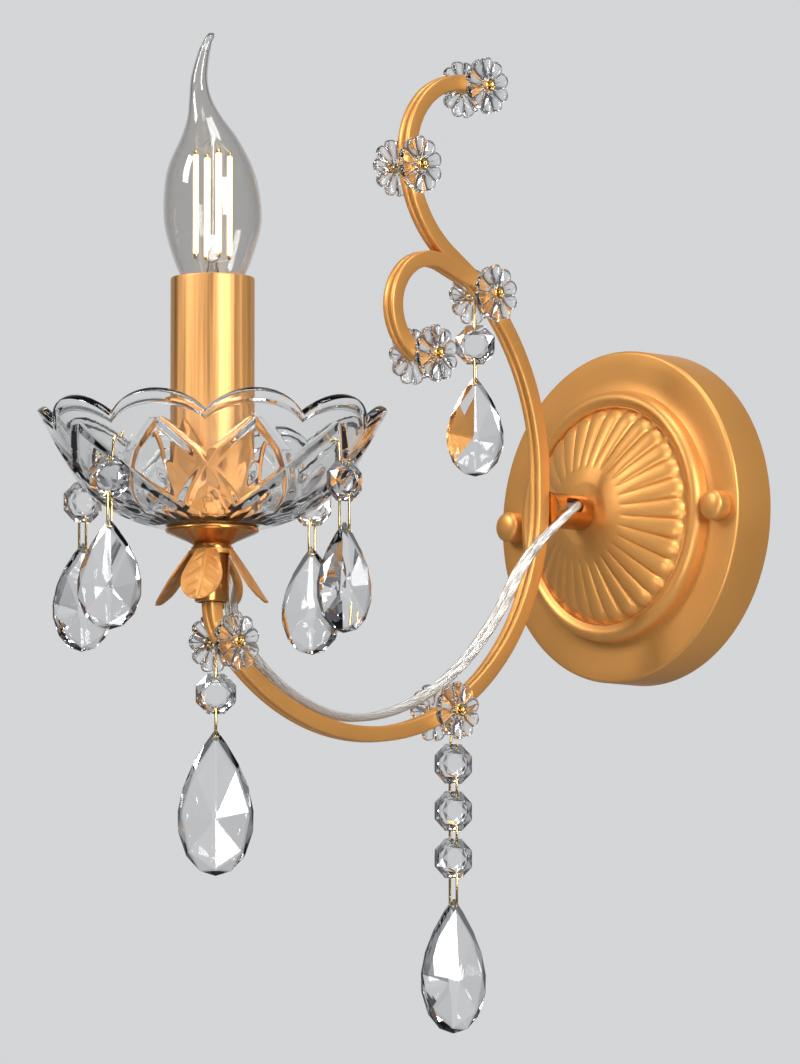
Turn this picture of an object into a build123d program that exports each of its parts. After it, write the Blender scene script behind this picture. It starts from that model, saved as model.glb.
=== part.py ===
# Crystal wall sconce: a round fluted canopy on a wall bar, a scrolled square arm with a second
# curl, a candle with a bent-tip bulb standing in a scalloped glass drip pan, six pairs of
# pressed glass rosettes and seven hanging strings of cut stones.
#
# Millimetres. The wall is the plane Y = 0, the sconce stands out of it towards -Y, and +Z is up.
# The origin is the centre of the wall bar's back face. The arm lies in the plane X = 0.
# "reach" is a distance out from the wall, so a point at reach h has Y = -h.
# "azimuth" turns round a vertical line: 0 points out of the wall, 90 points to +X.
from build123d import *

import os
from math import acos, ceil, cos, pi, radians, sin, sqrt, tan

PARTS = "parts"

# Canopy, wall bar and stub
canopy_r = 60.0
canopy_depth = 17.1
canopy_wall = 1.6
terminal_size = (19.0, 12.0, 16.0)
terminal_x = 21.0
terminal_reach = 8.0
rim_round = 1.2
ring_outer_r = 45.5
ring_top_r = 41.6
ring_top_reach = 23.0
dome_edge_r = 38.8
dome_edge_reach = 22.6
dome_flat_r = 16.5
dome_flat_reach = 34.7
flute_count = 30
flute_outer_at = 37.8
flute_inner_at = 17.6
flute_outer_depth = 1.2
flute_inner_depth = 0.4
stud_spacing = 104.0
stud_r = 2.0
stud_clearance = 0.06
bar_length = 112.0
bar_width = 14.0
bar_thickness = 2.0
wall_slot_spacing = 70.0
wall_slot_length = 12.0
wall_slot_r = 2.3
wire_hole_r = 5.0
stub_r = 6.3
stub_bore_r = 4.3
stub_tail = 6.0
stub_sides = 20
cap_nut_r = 5.4
cap_nut_length = 7.0
cap_nut_dome = 1.8

# Arm: one square bar bent into a scroll, with a groove down its inner and outer face
bar_side = 5.5
groove_width = 1.4
groove_depth = 0.8
bend_sag = 0.1
arm_reach = 56.7
scroll_r = 88.5
scroll_centre_z = 2.5
cup_turn = 42.0
straight_end_z = 11.5
lean_r = 85.0
lean_turn = 57.0
lean_run = 8.5
back_r = 42.5
hook_r = 26.4
hook_turn = 105.0
hook_run = 3.0
curl_start_reach = 92.5
curl_start_z = 79.3
curl_rise = 20.0
curl_run = 13.4
curl_r = 17.8
curl_turn = 160.0
curl_end_r = 13.0
curl_end_turn = 52.0

# Candle, cup and drip pan, on a vertical line at this reach
candle_reach = 215.5
socket_bottom_z = -44.5
socket_r = 6.0
socket_bore_r = 4.95
waist_z = -25.4
waist_r = 6.4
cup_rim_r = 16.3
cup_rim_z = -19.0
cup_sides = 30
pan_floor_z = -18.5
pan_wall = 3.2
pan_hole_r = 5.2
pan_foot_r = 19.0
pan_bend_r = 50.5
pan_bend_z = 3.3
pan_r = 61.0
scallop_count = 10
scallop_peak_z = 22.5
scallop_dip_z = 15.4
scallop_first_dip = 9.0
nipple_r = 4.9
nipple_bore_r = 3.8
nipple_bottom_z = -29.5
nipple_top_z = 30.0
leaf_sheet = 0.8
leaf_fold = 1.0
upper_leaf_azimuth = 20.0
lower_leaf_azimuth = 32.0
sleeve_r = 14.6
sleeve_wall = 0.8
sleeve_top_z = 68.5
holder_r = 13.3
holder_bottom_z = 29.0
holder_top_z = 64.0
holder_sides = 24
bulb_cap_r = 7.0
bulb_cap_clearance = 0.08
bulb_cap_length = 24.0
bulb_tail_azimuth = 136.0
bulb_glass_wall = 0.7
filament_foot_z = 76.5
filament_top_z = 111.5
filament_circle_r = 6.2
filament_azimuth = 66.0
bulb_sides = 18

# Rosettes: ten petals, pinned in pairs through the bar
rosette_r = 10.25
rosette_petals = 10
rosette_thickness = 2.6
rosette_gap = 5.3
pin_r = 0.8
pin_length = 18.4
pin_head_r = 1.7
notch_r = 8.6
dish_r = 7.2
dish_depth = 1.4
crease_depth = 0.8
pin_clearance = 0.05

# Hanging stones and their wires
wire_r = 0.45
wire_clearance = 0.05
bead_size = 14.0
bead_table = 7.5
bead_thickness = 6.0
bead_edge = 1.4
bead_hole_offset = 5.0
bead_wire_reach = 2.8
eye_r = 1.9
eye_thickness = 0.9
eye_x = 4.2
pan_hook_reach = 54.8
pan_hook_z = 8.5
pan_bead_reach = 57.2
pan_bead_drop = 14.6
pan_names = ("pan_front", "pan_right", "pan_back", "pan_left")
pan_azimuths = (9.7, 99.7, 189.7, 279.7)
pan_facings = {"pan_front": 34, "pan_right": 83, "pan_back": 205, "pan_left": 253}
drop_tip_hole = 3.2
small_link = 12.5
small_drop = (38.0, 22.5)

# Flex: a clear flat twin of two round cores, from inside the stub along the arm's inner face
core_r = 1.4
core_gap = 0.15
core_sides = 6
flex_hole_reach = 44.6
flex_hole_z = 1.8
flex_hole_length = 8.2
flex_hole_height = 5.2
stub_bore_end = 50.0
lock_nut_thickness = 3.0


def at(x, reach, z):
    """A point from its side offset, its reach out of the wall and its height."""
    return Vector(x, -reach, z)


def compass(azimuth):
    """The level unit vector that points along an azimuth."""
    return Vector(sin(radians(azimuth)), -cos(radians(azimuth)), 0)


def write(name, *shapes):
    """Write one node; several shapes become separate solids of the same node."""
    solids = [solid for shape in shapes for solid in shape.solids()]
    shape = solids[0] if len(solids) == 1 else Compound(children=solids)
    shape.label = name
    export_step(shape, f"{PARTS}/{name}.step")


def prism(start, end, radius, sides=8):
    """A straight prism between two points, its corners at a radius."""
    run = end - start
    section = Plane(origin=start, z_dir=run.normalized()) * RegularPolygon(radius=radius, side_count=sides)
    return extrude(section, amount=run.length)


def clear_hole(start, end, radius, sides=8):
    """A prism to cut a small hole with, its flats at a radius."""
    return prism(start, end, radius / cos(pi / sides), sides)


def corners_round(plane, radius, sides):
    """The corners of a regular ring in a plane."""
    turns = [2 * pi * i / sides for i in range(sides)]
    return [plane.from_local_coords(Vector(radius * cos(turn), radius * sin(turn), 0)) for turn in turns]


def facets(loops, closed=False):
    """A solid skin of small flat faces over loops of points; closed runs the last loop back to the first."""
    count = len(loops[0])
    faces = []
    pairs = list(zip(loops, loops[1:]))
    if closed:
        pairs.append((loops[-1], loops[0]))
    for low, high in pairs:
        for i in range(count):
            j = (i + 1) % count
            for corners in ((low[i], low[j], high[j]), (low[i], high[j], high[i])):
                if (corners[1] - corners[0]).cross(corners[2] - corners[0]).length > 1e-6:
                    faces.append(Face(Wire.make_polygon(corners, close=True)))
    if not closed:
        for loop in (loops[0], loops[-1]):
            middle = sum(loop, Vector()) / count
            for i in range(count):
                faces.append(Face(Wire.make_polygon([loop[i], loop[(i + 1) % count], middle], close=True)))
    return Solid(Shell(faces))


def many_sided(profile, sides):
    """A closed (radius, height) outline turned round the candle line in flats, for small pieces."""
    return facets([
        corners_round(Plane(origin=at(0, candle_reach, z), z_dir=(0, 0, 1)), r, sides) for r, z in profile
    ], closed=True)


def tapered(start, way, levels, sides):
    """A many-sided body along a way from a point; each level is (distance, radius)."""
    return facets([
        corners_round(Plane(origin=start + way * along, z_dir=way), radius, sides) for along, radius in levels
    ])


# ---------------------------------------------------------------- wall side

def mounting_bar():
    bar = Pos(0, -bar_thickness / 2, 0) * Box(bar_length, bar_thickness, bar_width)
    bar = fillet(bar.edges().filter_by(Axis.Y), 3)
    slot = SlotOverall(wall_slot_length, 2 * wall_slot_r)
    front = Plane(origin=(0, 0, 0), x_dir=(1, 0, 0), z_dir=(0, -1, 0))
    for x in (-wall_slot_spacing / 2, wall_slot_spacing / 2):
        bar -= extrude(front * (Pos(x, 0) * slot), amount=bar_thickness, both=True)
    for x in (-stud_spacing / 2, stud_spacing / 2):
        bar -= clear_hole(at(x, -1, 0), at(x, bar_thickness + 1, 0), stud_r)
    wire_hole = clear_hole(at(0, -1, 0), at(0, bar_thickness + 1, 0), wire_hole_r, 16)
    return bar - wire_hole


def canopy_studs():
    """Two threaded studs set in the bar, each with the thin hexagon nut that holds it there."""
    studs = []
    for x in (-stud_spacing / 2, stud_spacing / 2):
        stud = prism(at(x, 0, 0), at(x, canopy_depth + cap_nut_length - 2.4, 0), stud_r, 12)
        nut = prism(at(x, bar_thickness, 0), at(x, bar_thickness + 2.2, 0), stud_r + 2.0, 6)
        studs.append(stud + nut)
    return studs


def canopy():
    """A shell with a flat rim, a raised ring and a fluted dome round a flat centre.

    Each point of its outline is (radius, reach, how deep the flutes are there).
    """
    fall = (dome_flat_reach - dome_edge_reach - 0.6) / (dome_edge_r - dome_flat_r)
    outside = [
        (canopy_r, 0, 0),
        (canopy_r, canopy_depth - rim_round, 0),
        (canopy_r - rim_round, canopy_depth, 0),
        (ring_outer_r, canopy_depth, 0),
        (ring_outer_r - 0.5, ring_top_reach - 2.6, 0),
        (ring_top_r + 2.0, ring_top_reach - 0.6, 0),
        (ring_top_r, ring_top_reach, 0),
        (dome_edge_r + 0.8, dome_edge_reach - 0.4, 0),
        (dome_edge_r, dome_edge_reach + 0.6, 0.5 * flute_outer_depth),
        (flute_outer_at, dome_flat_reach - (flute_outer_at - dome_flat_r) * fall, flute_outer_depth),
        (flute_inner_at, dome_flat_reach - (flute_inner_at - dome_flat_r) * fall, flute_inner_depth),
        (dome_flat_r, dome_flat_reach, 0),
        (0, dome_flat_reach, 0),
    ]
    wall = canopy_wall
    inside = [
        (0, dome_flat_reach - wall, 0),
        (dome_flat_r - 0.8, dome_flat_reach - wall, 0),
        (dome_edge_r - 0.8, dome_edge_reach - wall - 0.8, 0),
        (ring_outer_r - wall - 0.8, canopy_depth - 0.2, 0),
        (ring_outer_r - wall - 0.8, canopy_depth - wall, 0),
        (canopy_r - wall, canopy_depth - wall, 0),
        (canopy_r - wall, 0, 0),
    ]
    # The flutes' troughs and the ribs between them stand alternately round the shell.
    loops = []
    for r, reach, sunk in outside + inside:
        loop = []
        for i in range(2 * flute_count):
            turn = pi * i / flute_count
            loop.append(Vector(r * cos(turn), (sunk if i % 2 else 0) - reach, r * sin(turn)))
        loops.append(loop)
    shell = facets(loops, closed=True)
    for x in (-stud_spacing / 2, stud_spacing / 2):
        shell -= clear_hole(at(x, 10, 0), at(x, canopy_depth + 1, 0), stud_r + 0.2, 12)
    return shell - clear_hole(at(0, 20, 0), at(0, dome_flat_reach + 1, 0), stub_r - 1.0, stub_sides)


def cap_nut(x):
    """A round nut with a domed end and a blind threaded bore."""
    seat = at(x, canopy_depth, 0)
    out = Vector(0, -1, 0)
    shoulder = cap_nut_length - cap_nut_dome
    levels = [(0, cap_nut_r), (shoulder, cap_nut_r)]
    levels += [(shoulder + 0.7 * cap_nut_dome, 0.62 * cap_nut_r), (cap_nut_length, 0.16 * cap_nut_r)]
    body = tapered(seat, out, levels, 20)
    return body - clear_hole(seat - out, seat + out * (cap_nut_length - 2), stud_r + stud_clearance, 12)


# ---------------------------------------------------------------- arm

def on_scroll(angle, offset=0.0):
    """Reach and height of a point on the scroll, by its angle from the level room-side radius."""
    radius = scroll_r + offset
    return (
        arm_reach + scroll_r + radius * cos(radians(angle)),
        scroll_centre_z + radius * sin(radians(angle)),
    )


def bar_section(point, way):
    """The bar's square section across a way in the side plane, a groove in its inner and outer face."""
    half = bar_side / 2
    deep = half - groove_depth
    slit = groove_width / 2
    corners = [
        (-half, -half), (-half, half), (-slit, half), (0, deep), (slit, half),
        (half, half), (half, -half), (slit, -half), (0, -deep), (-slit, -half),
    ]
    return [at(x, point.X - way.Y * y, point.Y + way.X * y) for x, y in corners]


def swept_bar(route):
    """Run the bar's section along a flat route, round its bends in straight steps that leave the
    arc by no more than bend_sag."""
    sections = []
    for piece in route.edges():
        turn = radians((piece % 0).get_angle(piece % 1))
        radius = piece.length / max(turn, 1e-6)
        steps = ceil(turn / (2 * acos(1 - bend_sag / max(radius, bar_side)))) if turn > 0.01 else 1
        sections += [bar_section(piece @ (i / steps), piece % (i / steps)) for i in range(steps)]
    sections.append(bar_section(piece @ 1, piece % 1))
    return facets(sections)


def arm_route():
    """From the candle's cup, down and back round the scroll, up past the stub to the hook."""
    foot = on_scroll(-cup_turn)
    cup_bend_r = (candle_reach - foot[0]) / (1 - cos(radians(cup_turn)))
    top_z = foot[1] + cup_bend_r * sin(radians(cup_turn))
    start = Line((candle_reach, top_z + 0.4), (candle_reach, top_z))
    pieces = [start]

    def bend(radius, turn):
        last = pieces[-1]
        pieces.append(JernArc(last @ 1, last % 1, radius, turn))

    def straight(length):
        last = pieces[-1]
        pieces.append(Line(last @ 1, (last @ 1) + (last % 1) * length))

    bend(cup_bend_r, -cup_turn)
    bend(scroll_r, -(180 - cup_turn))
    straight(straight_end_z - scroll_centre_z)
    bend(lean_r, -lean_turn)
    straight(lean_run)
    bend(back_r, lean_turn)
    bend(hook_r, hook_turn)
    straight(hook_run)
    return Curve() + pieces


def curl_route():
    """From inside the arm's bend, over the top of the curl and round to its inner end."""
    start = Vector(curl_start_reach, curl_start_z)
    heading = Vector(cos(radians(curl_rise)), sin(radians(curl_rise)))
    pieces = [Line(start, start + heading * curl_run)]
    for radius, turn in ((curl_r, -curl_turn), (curl_end_r, -curl_end_turn)):
        last = pieces[-1]
        pieces.append(JernArc(last @ 1, last % 1, radius, turn))
    return Curve() + pieces


def stub_tube():
    """The brazed tube between canopy and arm, threaded at its tail, with the flex's side hole."""
    tube = prism(at(0, dome_flat_reach, 0), at(0, arm_reach - bar_side / 2, 0), stub_r, stub_sides)
    tail_end = dome_flat_reach - canopy_wall - stub_tail
    tube += prism(at(0, tail_end, 0), at(0, dome_flat_reach, 0), stub_r - 1.0, stub_sides)
    tube -= clear_hole(at(0, tail_end - 1, 0), at(0, stub_bore_end, 0), stub_bore_r, 12)
    side = Plane(origin=at(0, flex_hole_reach, flex_hole_z), x_dir=(0, -1, 0), z_dir=(1, 0, 0))
    return tube - extrude(side * SlotOverall(flex_hole_length, flex_hole_height), amount=2 * stub_r)


def lock_nut(seat, way, hole_r):
    """A flat hexagon nut that stands on a seat and runs along a tube."""
    nut = prism(seat, seat + way * lock_nut_thickness, hole_r * 1.7, 6)
    return nut - clear_hole(seat - way, seat + way * (lock_nut_thickness + 1), hole_r, 12)


def lock_nuts():
    """The nut behind the canopy, the one that clamps the drip pan and the one under the lampholder."""
    return [
        lock_nut(at(0, dome_flat_reach - canopy_wall, 0), Vector(0, 1, 0), stub_r - 1.0),
        lock_nut(at(0, candle_reach, pan_floor_z + pan_wall + 1), Vector(0, 0, 1), nipple_r),
        lock_nut(at(0, candle_reach, holder_bottom_z), Vector(0, 0, -1), nipple_r),
    ]


def terminal_block():
    """The two-way wire block that sits beside the stub inside the canopy."""
    block = Pos(terminal_x, -terminal_reach, 0) * Box(*terminal_size)
    for z in (-4.0, 4.0):
        middle = at(terminal_x, terminal_reach, z)
        block -= clear_hole(middle - Vector(12, 0, 0), middle + Vector(12, 0, 0), 1.5, 6)
        block -= clear_hole(middle, middle - Vector(0, 9, 0), 1.5, 6)
    return block


# ---------------------------------------------------------------- rosettes

def rosette_places():
    """Where each pair of rosettes is pinned: name, reach, height."""
    places = {}
    route = arm_route()
    curl = curl_route()
    places["top"] = route @ (1 - 3.2 / route.length)
    places["back"] = Vector(121.9, 117.0, 0)
    places["middle"] = Vector(*lean_point(47.8), 0)
    places["curl"] = curl @ (1 - 2.6 / curl.length)
    places["scroll"] = Vector(*on_scroll(-118.0), 0)
    places["candle"] = Vector(*on_scroll(-43.2), 0)
    return places


def lean_point(turn):
    """A point on the leaning bend above the stub, by the angle turned since it left the vertical."""
    return (
        arm_reach + lean_r * (1 - cos(radians(turn))),
        straight_end_z + lean_r * sin(radians(turn)),
    )


def rosette(reach, z, side):
    """A pressed glass flower: ten round petals with creases between them and a dished middle."""
    inner = at(side * rosette_gap, reach, z)
    hole_r = (pin_r + pin_clearance) / cos(pi / rosette_petals)

    def ring(*corners):
        """Three corners for each petal, as (share of the petal's turn, radius, height over the back)."""
        points = []
        for i in range(rosette_petals):
            for share, radius, height in corners:
                turn = 2 * pi * (i + share) / rosette_petals
                points.append(inner + Vector(side * height, side * radius * cos(turn), radius * sin(turn)))
        return points

    front = rosette_thickness
    crease, floor = front - crease_depth, front - dish_depth
    lobes = ((0, notch_r), (0.3, rosette_r), (0.7, rosette_r))
    return facets([
        ring(*[(0, hole_r, 0)] * 3),
        ring(*[(share, radius, 0) for share, radius in lobes]),
        ring(*[(share, radius, front if share else crease) for share, radius in lobes]),
        ring((0, dish_r, crease), (0.5, dish_r, front), (0.5, dish_r, front)),
        ring(*[(0, 0.3 * dish_r, floor)] * 3),
        ring(*[(0, hole_r, floor)] * 3),
    ], closed=True)


def rosette_pin(reach, z):
    """A brass pin through both rosettes and the bar, with a bead on each end."""
    end = Vector(pin_length / 2, 0, 0)
    middle = at(0, reach, z)
    pin = prism(middle - end, middle + end, pin_r)
    levels = [(-1.4, 0.9), (-0.3, pin_head_r), (0.6, pin_head_r), (1.5, 0.6)]
    for side in (-1, 1):
        pin += tapered(middle + end * side, Vector(side, 0, 0), levels, 6)
    return pin


# ---------------------------------------------------------------- stones

def stone(centre, facing, outline, rings, apex):
    """A cut stone. Its outline is drawn in its own plane; each ring is (scale, depth) towards the
    focus of the cut, the same on both faces, and apex is the depth of the point or None for a table."""
    focus = Vector(0, apex[0], 0)
    plane = Plane(origin=centre, x_dir=Vector(0, 0, 1).cross(facing), z_dir=facing)

    def loop(scale, depth):
        return [plane.from_local_coords(focus + (Vector(x, y, 0) - focus) * scale + Vector(0, 0, depth))
                for x, y in outline]

    def polygon(points):
        return Face(Wire.make_polygon(points, close=True))

    levels = [loop(scale, -depth) for scale, depth in reversed(rings)]
    levels += [loop(scale, depth) for scale, depth in rings]
    count = len(outline)
    faces = []
    for low, high in zip(levels, levels[1:]):
        for i in range(count):
            j = (i + 1) % count
            faces.append(polygon([low[i], low[j], high[j], high[i]]))
    for side, level in ((-1, levels[0]), (1, levels[-1])):
        if apex[1] is None:
            faces.append(polygon(level))
            continue
        tip = plane.from_local_coords(focus + Vector(0, 0, side * apex[1]))
        for i in range(count):
            faces.append(polygon([level[i], level[(i + 1) % count], tip]))
    return Solid(Shell(faces))


def bead(centre, facing):
    """An eight-sided cut bead with a hole near its top and bottom."""
    corner = bead_size / 2 / cos(pi / 8)
    outline = [(corner * cos(pi * (2 * i + 1) / 8), corner * sin(pi * (2 * i + 1) / 8)) for i in range(8)]
    rings = [(1.0, bead_edge / 2), (bead_table / bead_size, bead_thickness / 2)]
    body = stone(centre, facing, outline, rings, (0, None))
    for side in (-1, 1):
        hole = centre + Vector(0, 0, side * bead_hole_offset)
        body -= clear_hole(hole - facing * 4, hole + facing * 4, wire_r + wire_clearance)
    return body


def almond(tip, facing, length, width):
    """An almond drop: pointed at the top, round below, cut to a point on each face."""
    thickness = 0.4 * width
    half = width / 2
    belly = length * 0.62
    side = []
    for share in (0.10, 0.24, 0.40, 0.56):
        along = share / 0.62
        side.append((half * sin(along * pi / 2) ** 0.92, -share * length))
    for angle in (12, 40, 66):
        turn = radians(angle)
        side.append((half * cos(turn), -belly - (length - belly) * sin(turn)))
    outline = [(0, 0)] + [(-x, y) for x, y in side] + [(0, -length)] + [(x, y) for x, y in reversed(side)]
    rings = [(1.0, 0.6), (0.58, 0.8 * thickness / 2)]
    body = stone(tip, facing, outline, rings, (-0.66 * length, thickness / 2))
    hole = tip - Vector(0, 0, drop_tip_hole)
    return body - clear_hole(hole - facing * 4, hole + facing * 4, wire_r + wire_clearance)


def bent_wire(points, closed=False):
    """A six-sided wire bent sharply at each point."""
    path = Wire.make_polygon(points, close=closed)
    start = Plane(origin=points[0], z_dir=(points[1] - points[0]).normalized())
    if closed:
        start = Plane(origin=(points[0] + points[1]) / 2, z_dir=start.z_dir)
        path = Wire.make_polygon([(points[0] + points[1]) / 2] + points[1:] + [points[0]], close=True)
    section = start * RegularPolygon(radius=wire_r, side_count=6)
    return sweep(section, path=path, transition=Transition.RIGHT)


def link(bead_hole, facing, fall):
    """A long wire loop through a bead's lower hole and the next stone's upper hole."""
    out = facing * bead_wire_reach
    down = Vector(0, 0, -fall)
    corners = [bead_hole - out, bead_hole + out, bead_hole + out + down, bead_hole - out + down]
    return bent_wire(corners, closed=True)


def pan_hook(azimuth, facing):
    """The wire through the drip pan's wall that carries one bead outside it."""
    way = compass(azimuth)
    middle = Vector(0, -candle_reach, pan_hook_z)
    hole = bead_centre_on_pan(azimuth) + Vector(0, 0, bead_hole_offset)
    side = 1 if facing.dot(way) > 0 else -1
    inner = hole - facing * (side * bead_wire_reach)
    outer = hole + facing * (side * bead_wire_reach)
    return bent_wire([
        middle + way * (pan_hook_reach - 5.6) + Vector(0, 0, 2.2),
        middle + way * (pan_hook_reach - 5.6),
        middle + way * pan_hook_reach,
        inner,
        outer,
        outer + Vector(0, 0, 2.0),
    ])


def bead_centre_on_pan(azimuth):
    return Vector(0, -candle_reach, pan_hook_z - pan_bead_drop) + compass(azimuth) * pan_bead_reach


def pin_hook(side, reach, z, hole, facing):
    """An eye on a rosette pin, with a wire down to a bead's upper hole."""
    pin_at = at(side * eye_x, reach, z)
    half = Vector(eye_thickness / 2, 0, 0)
    eye = prism(pin_at - half, pin_at + half, eye_r, 12)
    eye -= clear_hole(pin_at - half * 3, pin_at + half * 3, pin_r + pin_clearance)
    turn = 1 if facing.X * side > 0 else -1
    inner = hole - facing * (turn * bead_wire_reach)
    outer = hole + facing * (turn * bead_wire_reach)
    wire = bent_wire([
        pin_at - Vector(0, 0, pin_r + 0.6),
        pin_at - Vector(0, 0, eye_r + 1.2),
        inner,
        outer,
        outer + Vector(0, 0, 2.0),
    ])
    return eye + wire


# ---------------------------------------------------------------- candle and drip pan

def candle_cup():
    """The turned cup under the drip pan, with the socket that the arm and the leaves sit on."""
    profile = [
        (socket_bore_r, socket_bottom_z),
        (socket_r, socket_bottom_z),
        (socket_r, waist_z - 0.8),
        (waist_r + 0.9, waist_z - 0.8),
        (waist_r + 0.9, waist_z),
        (waist_r, waist_z),
        (waist_r + 3.6, waist_z + 2.0),
        (cup_rim_r - 1.2, cup_rim_z - 1.9),
        (cup_rim_r, cup_rim_z - 1.2),
        (cup_rim_r, cup_rim_z),
        (cup_rim_r - 1.0, pan_floor_z),
        (socket_bore_r, pan_floor_z),
    ]
    cup = many_sided(profile, cup_sides)
    notch = Box(6.6, 2 * socket_r, 10)
    return cup - Pos(0, -candle_reach + socket_r, socket_bottom_z + 9) * notch


def leaf(azimuth, stations):
    """A thin leaf with a raised middle vein; each station along it is (radius, height, half width)."""
    way = compass(azimuth)
    side = Vector(0, 0, 1).cross(way)
    axis = at(0, candle_reach, 0)
    loops = []
    for radius, z, half in stations:
        edge = axis + way * radius + Vector(0, 0, z)
        vein = edge + way * (leaf_fold * half / stations[1][2])
        skin = way * leaf_sheet
        loops.append([
            edge - side * half, vein, edge + side * half,
            edge + side * half + skin, vein + skin, edge - side * half + skin,
        ])
    return facets(loops)


def upper_leaves():
    """Six leaves that stand up round the candle inside the drip pan, on one flat ring."""
    floor = pan_floor_z + pan_wall
    collar = many_sided([
        (nipple_r + 0.1, floor),
        (sleeve_r + 1.6, floor),
        (sleeve_r + 1.6, floor + 1),
        (nipple_r + 0.1, floor + 1),
    ], cup_sides)
    stations = [
        (15.0, floor + 0.3, 4.4), (15.1, floor + 10, 6.6), (15.8, floor + 19, 6.2),
        (17.6, floor + 27, 3.8), (20.2, floor + 33, 0.4),
    ]
    for i in range(6):
        collar += leaf(upper_leaf_azimuth + 60 * i, stations)
    return collar


def lower_leaves():
    """Four leaves that droop from the cup's waist, on one thin ring."""
    top = waist_z - 0.8
    low, outer = top - 1.6, socket_r + 1.4
    collar = many_sided([(socket_r, low), (outer, low), (outer, top), (socket_r, top)], cup_sides)
    stations = [
        (6.1, top - 0.4, 3.4), (8.3, top - 4.0, 5.2), (12.0, top - 10.0, 7.2),
        (15.2, top - 14.8, 6.4), (18.2, top - 18.2, 3.6), (19.4, top - 19.2, 0.5),
    ]
    for i in range(4):
        collar += leaf(lower_leaf_azimuth + 90 * i, stations)
    return collar


def bobeche():
    """The cut glass drip pan: a round bowl whose rim rises and dips in ten scallops."""
    bend = Vector(pan_bend_r, pan_bend_z)
    flare = (Vector(pan_r, scallop_peak_z) - bend).normalized()
    inward = Vector(-flare.Y, flare.X) * pan_wall
    outer = ThreePointArc((pan_foot_r, pan_floor_z), (38.8, -10.7), bend)
    inner = ThreePointArc((pan_foot_r - 1.6, pan_floor_z + pan_wall), (36.7, -8.3), bend + inward)
    half = pan_r * sin(pi / scallop_count)
    rise = scallop_peak_z - scallop_dip_z
    crest_r = (half**2 + rise**2) / (2 * rise)

    def crest(share):
        """The rim's height at a share of the way from one dip to the next, on a flat arch."""
        across = half * (2 * share - 1)
        return scallop_peak_z - crest_r + sqrt(crest_r**2 - across**2)

    def ring(place):
        """A loop round the pan, six steps to a scallop; place gives (radius, height) at a share."""
        loop = []
        for i in range(6 * scallop_count):
            r, z = place((i % 6) / 6)
            loop.append(Vector(0, -candle_reach, z) + compass(scallop_first_dip + 6 * i) * r)
        return loop

    def on_wall(foot):
        """The place where a wall that flares up from a foot meets the rim."""
        return lambda share: (foot.X + flare.X * (crest(share) - foot.Y) / flare.Y, crest(share))

    def level(r, z):
        return lambda share: (r, z)

    bends = (0, 0.3, 0.65, 1)
    loops = [ring(level(pan_hole_r, pan_floor_z))]
    loops += [ring(level((outer @ along).X, (outer @ along).Y)) for along in bends]
    loops += [ring(on_wall(bend)), ring(on_wall(bend + inward))]
    loops += [ring(level((inner @ along).X, (inner @ along).Y)) for along in reversed(bends)]
    loops += [ring(level(pan_hole_r, pan_floor_z + pan_wall))]
    bowl = facets(loops, closed=True)
    for azimuth in pan_azimuths:
        start = Vector(0, -candle_reach, pan_hook_z) + compass(azimuth) * 45
        bowl -= clear_hole(start, start + compass(azimuth) * 15, wire_r + wire_clearance)
    return bowl


def candle_sleeve():
    """The candle's thin metal tube, standing inside the upper leaves."""
    floor = pan_floor_z + pan_wall + 1
    return many_sided([
        (sleeve_r - sleeve_wall, floor),
        (sleeve_r, floor),
        (sleeve_r, sleeve_top_z),
        (sleeve_r - sleeve_wall, sleeve_top_z),
    ], cup_sides)


def threaded_nipple():
    """The hollow threaded tube that clamps cup, drip pan and leaves, and carries the lampholder."""
    return many_sided([
        (nipple_bore_r, nipple_bottom_z),
        (nipple_r, nipple_bottom_z),
        (nipple_r, nipple_top_z),
        (nipple_bore_r, nipple_top_z),
    ], holder_sides)


def lampholder():
    """The small screw lampholder inside the sleeve."""
    bore = bulb_cap_r + bulb_cap_clearance
    seat = holder_top_z - bulb_cap_length - 0.4
    return many_sided([
        (nipple_r + 0.02, holder_bottom_z),
        (holder_r, holder_bottom_z),
        (holder_r, holder_top_z),
        (bore, holder_top_z),
        (bore, seat),
        (0, seat),
        (0, holder_bottom_z + 4),
        (nipple_r + 0.02, holder_bottom_z + 4),
    ], holder_sides)


# ---------------------------------------------------------------- bulb

bulb_stations = [
    (66.0, 7.6, 0.0), (69.5, 11.2, 0.0), (78.0, 14.6, 0.0), (88.0, 17.0, 0.0), (99.0, 16.6, -0.4),
    (108.0, 14.5, -0.9), (117.5, 9.9, -1.3), (124.5, 6.2, -2.8), (131.5, 3.9, -4.4),
    (139.0, 2.7, -4.8), (147.5, 1.8, -3.2), (154.4, 0.9, -0.5),
]


def bulb_skin(inset):
    """The bulb's outside, or its inside at a given inset, in flat facets between level rings."""
    way = compass(bulb_tail_azimuth)
    loops = []
    for z, radius, lean in bulb_stations:
        if inset and radius - inset < 0.8:
            break
        centre = at(0, candle_reach, z + (0 if loops else inset)) + way * lean
        loops.append(corners_round(Plane(origin=centre, z_dir=(0, 0, 1)), radius - inset, bulb_sides))
    return facets(loops)


def bulb_glass():
    return bulb_skin(0) - bulb_skin(bulb_glass_wall)


def bulb_cap():
    """The bulb's screw cap and its end contact."""
    top = bulb_stations[0][0]
    bottom = holder_top_z - bulb_cap_length
    return many_sided([
        (0, bottom + 0.2),
        (3.0, bottom + 0.2),
        (bulb_cap_r, bottom + 4.0),
        (bulb_cap_r, top),
        (0, top),
    ], holder_sides)


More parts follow.
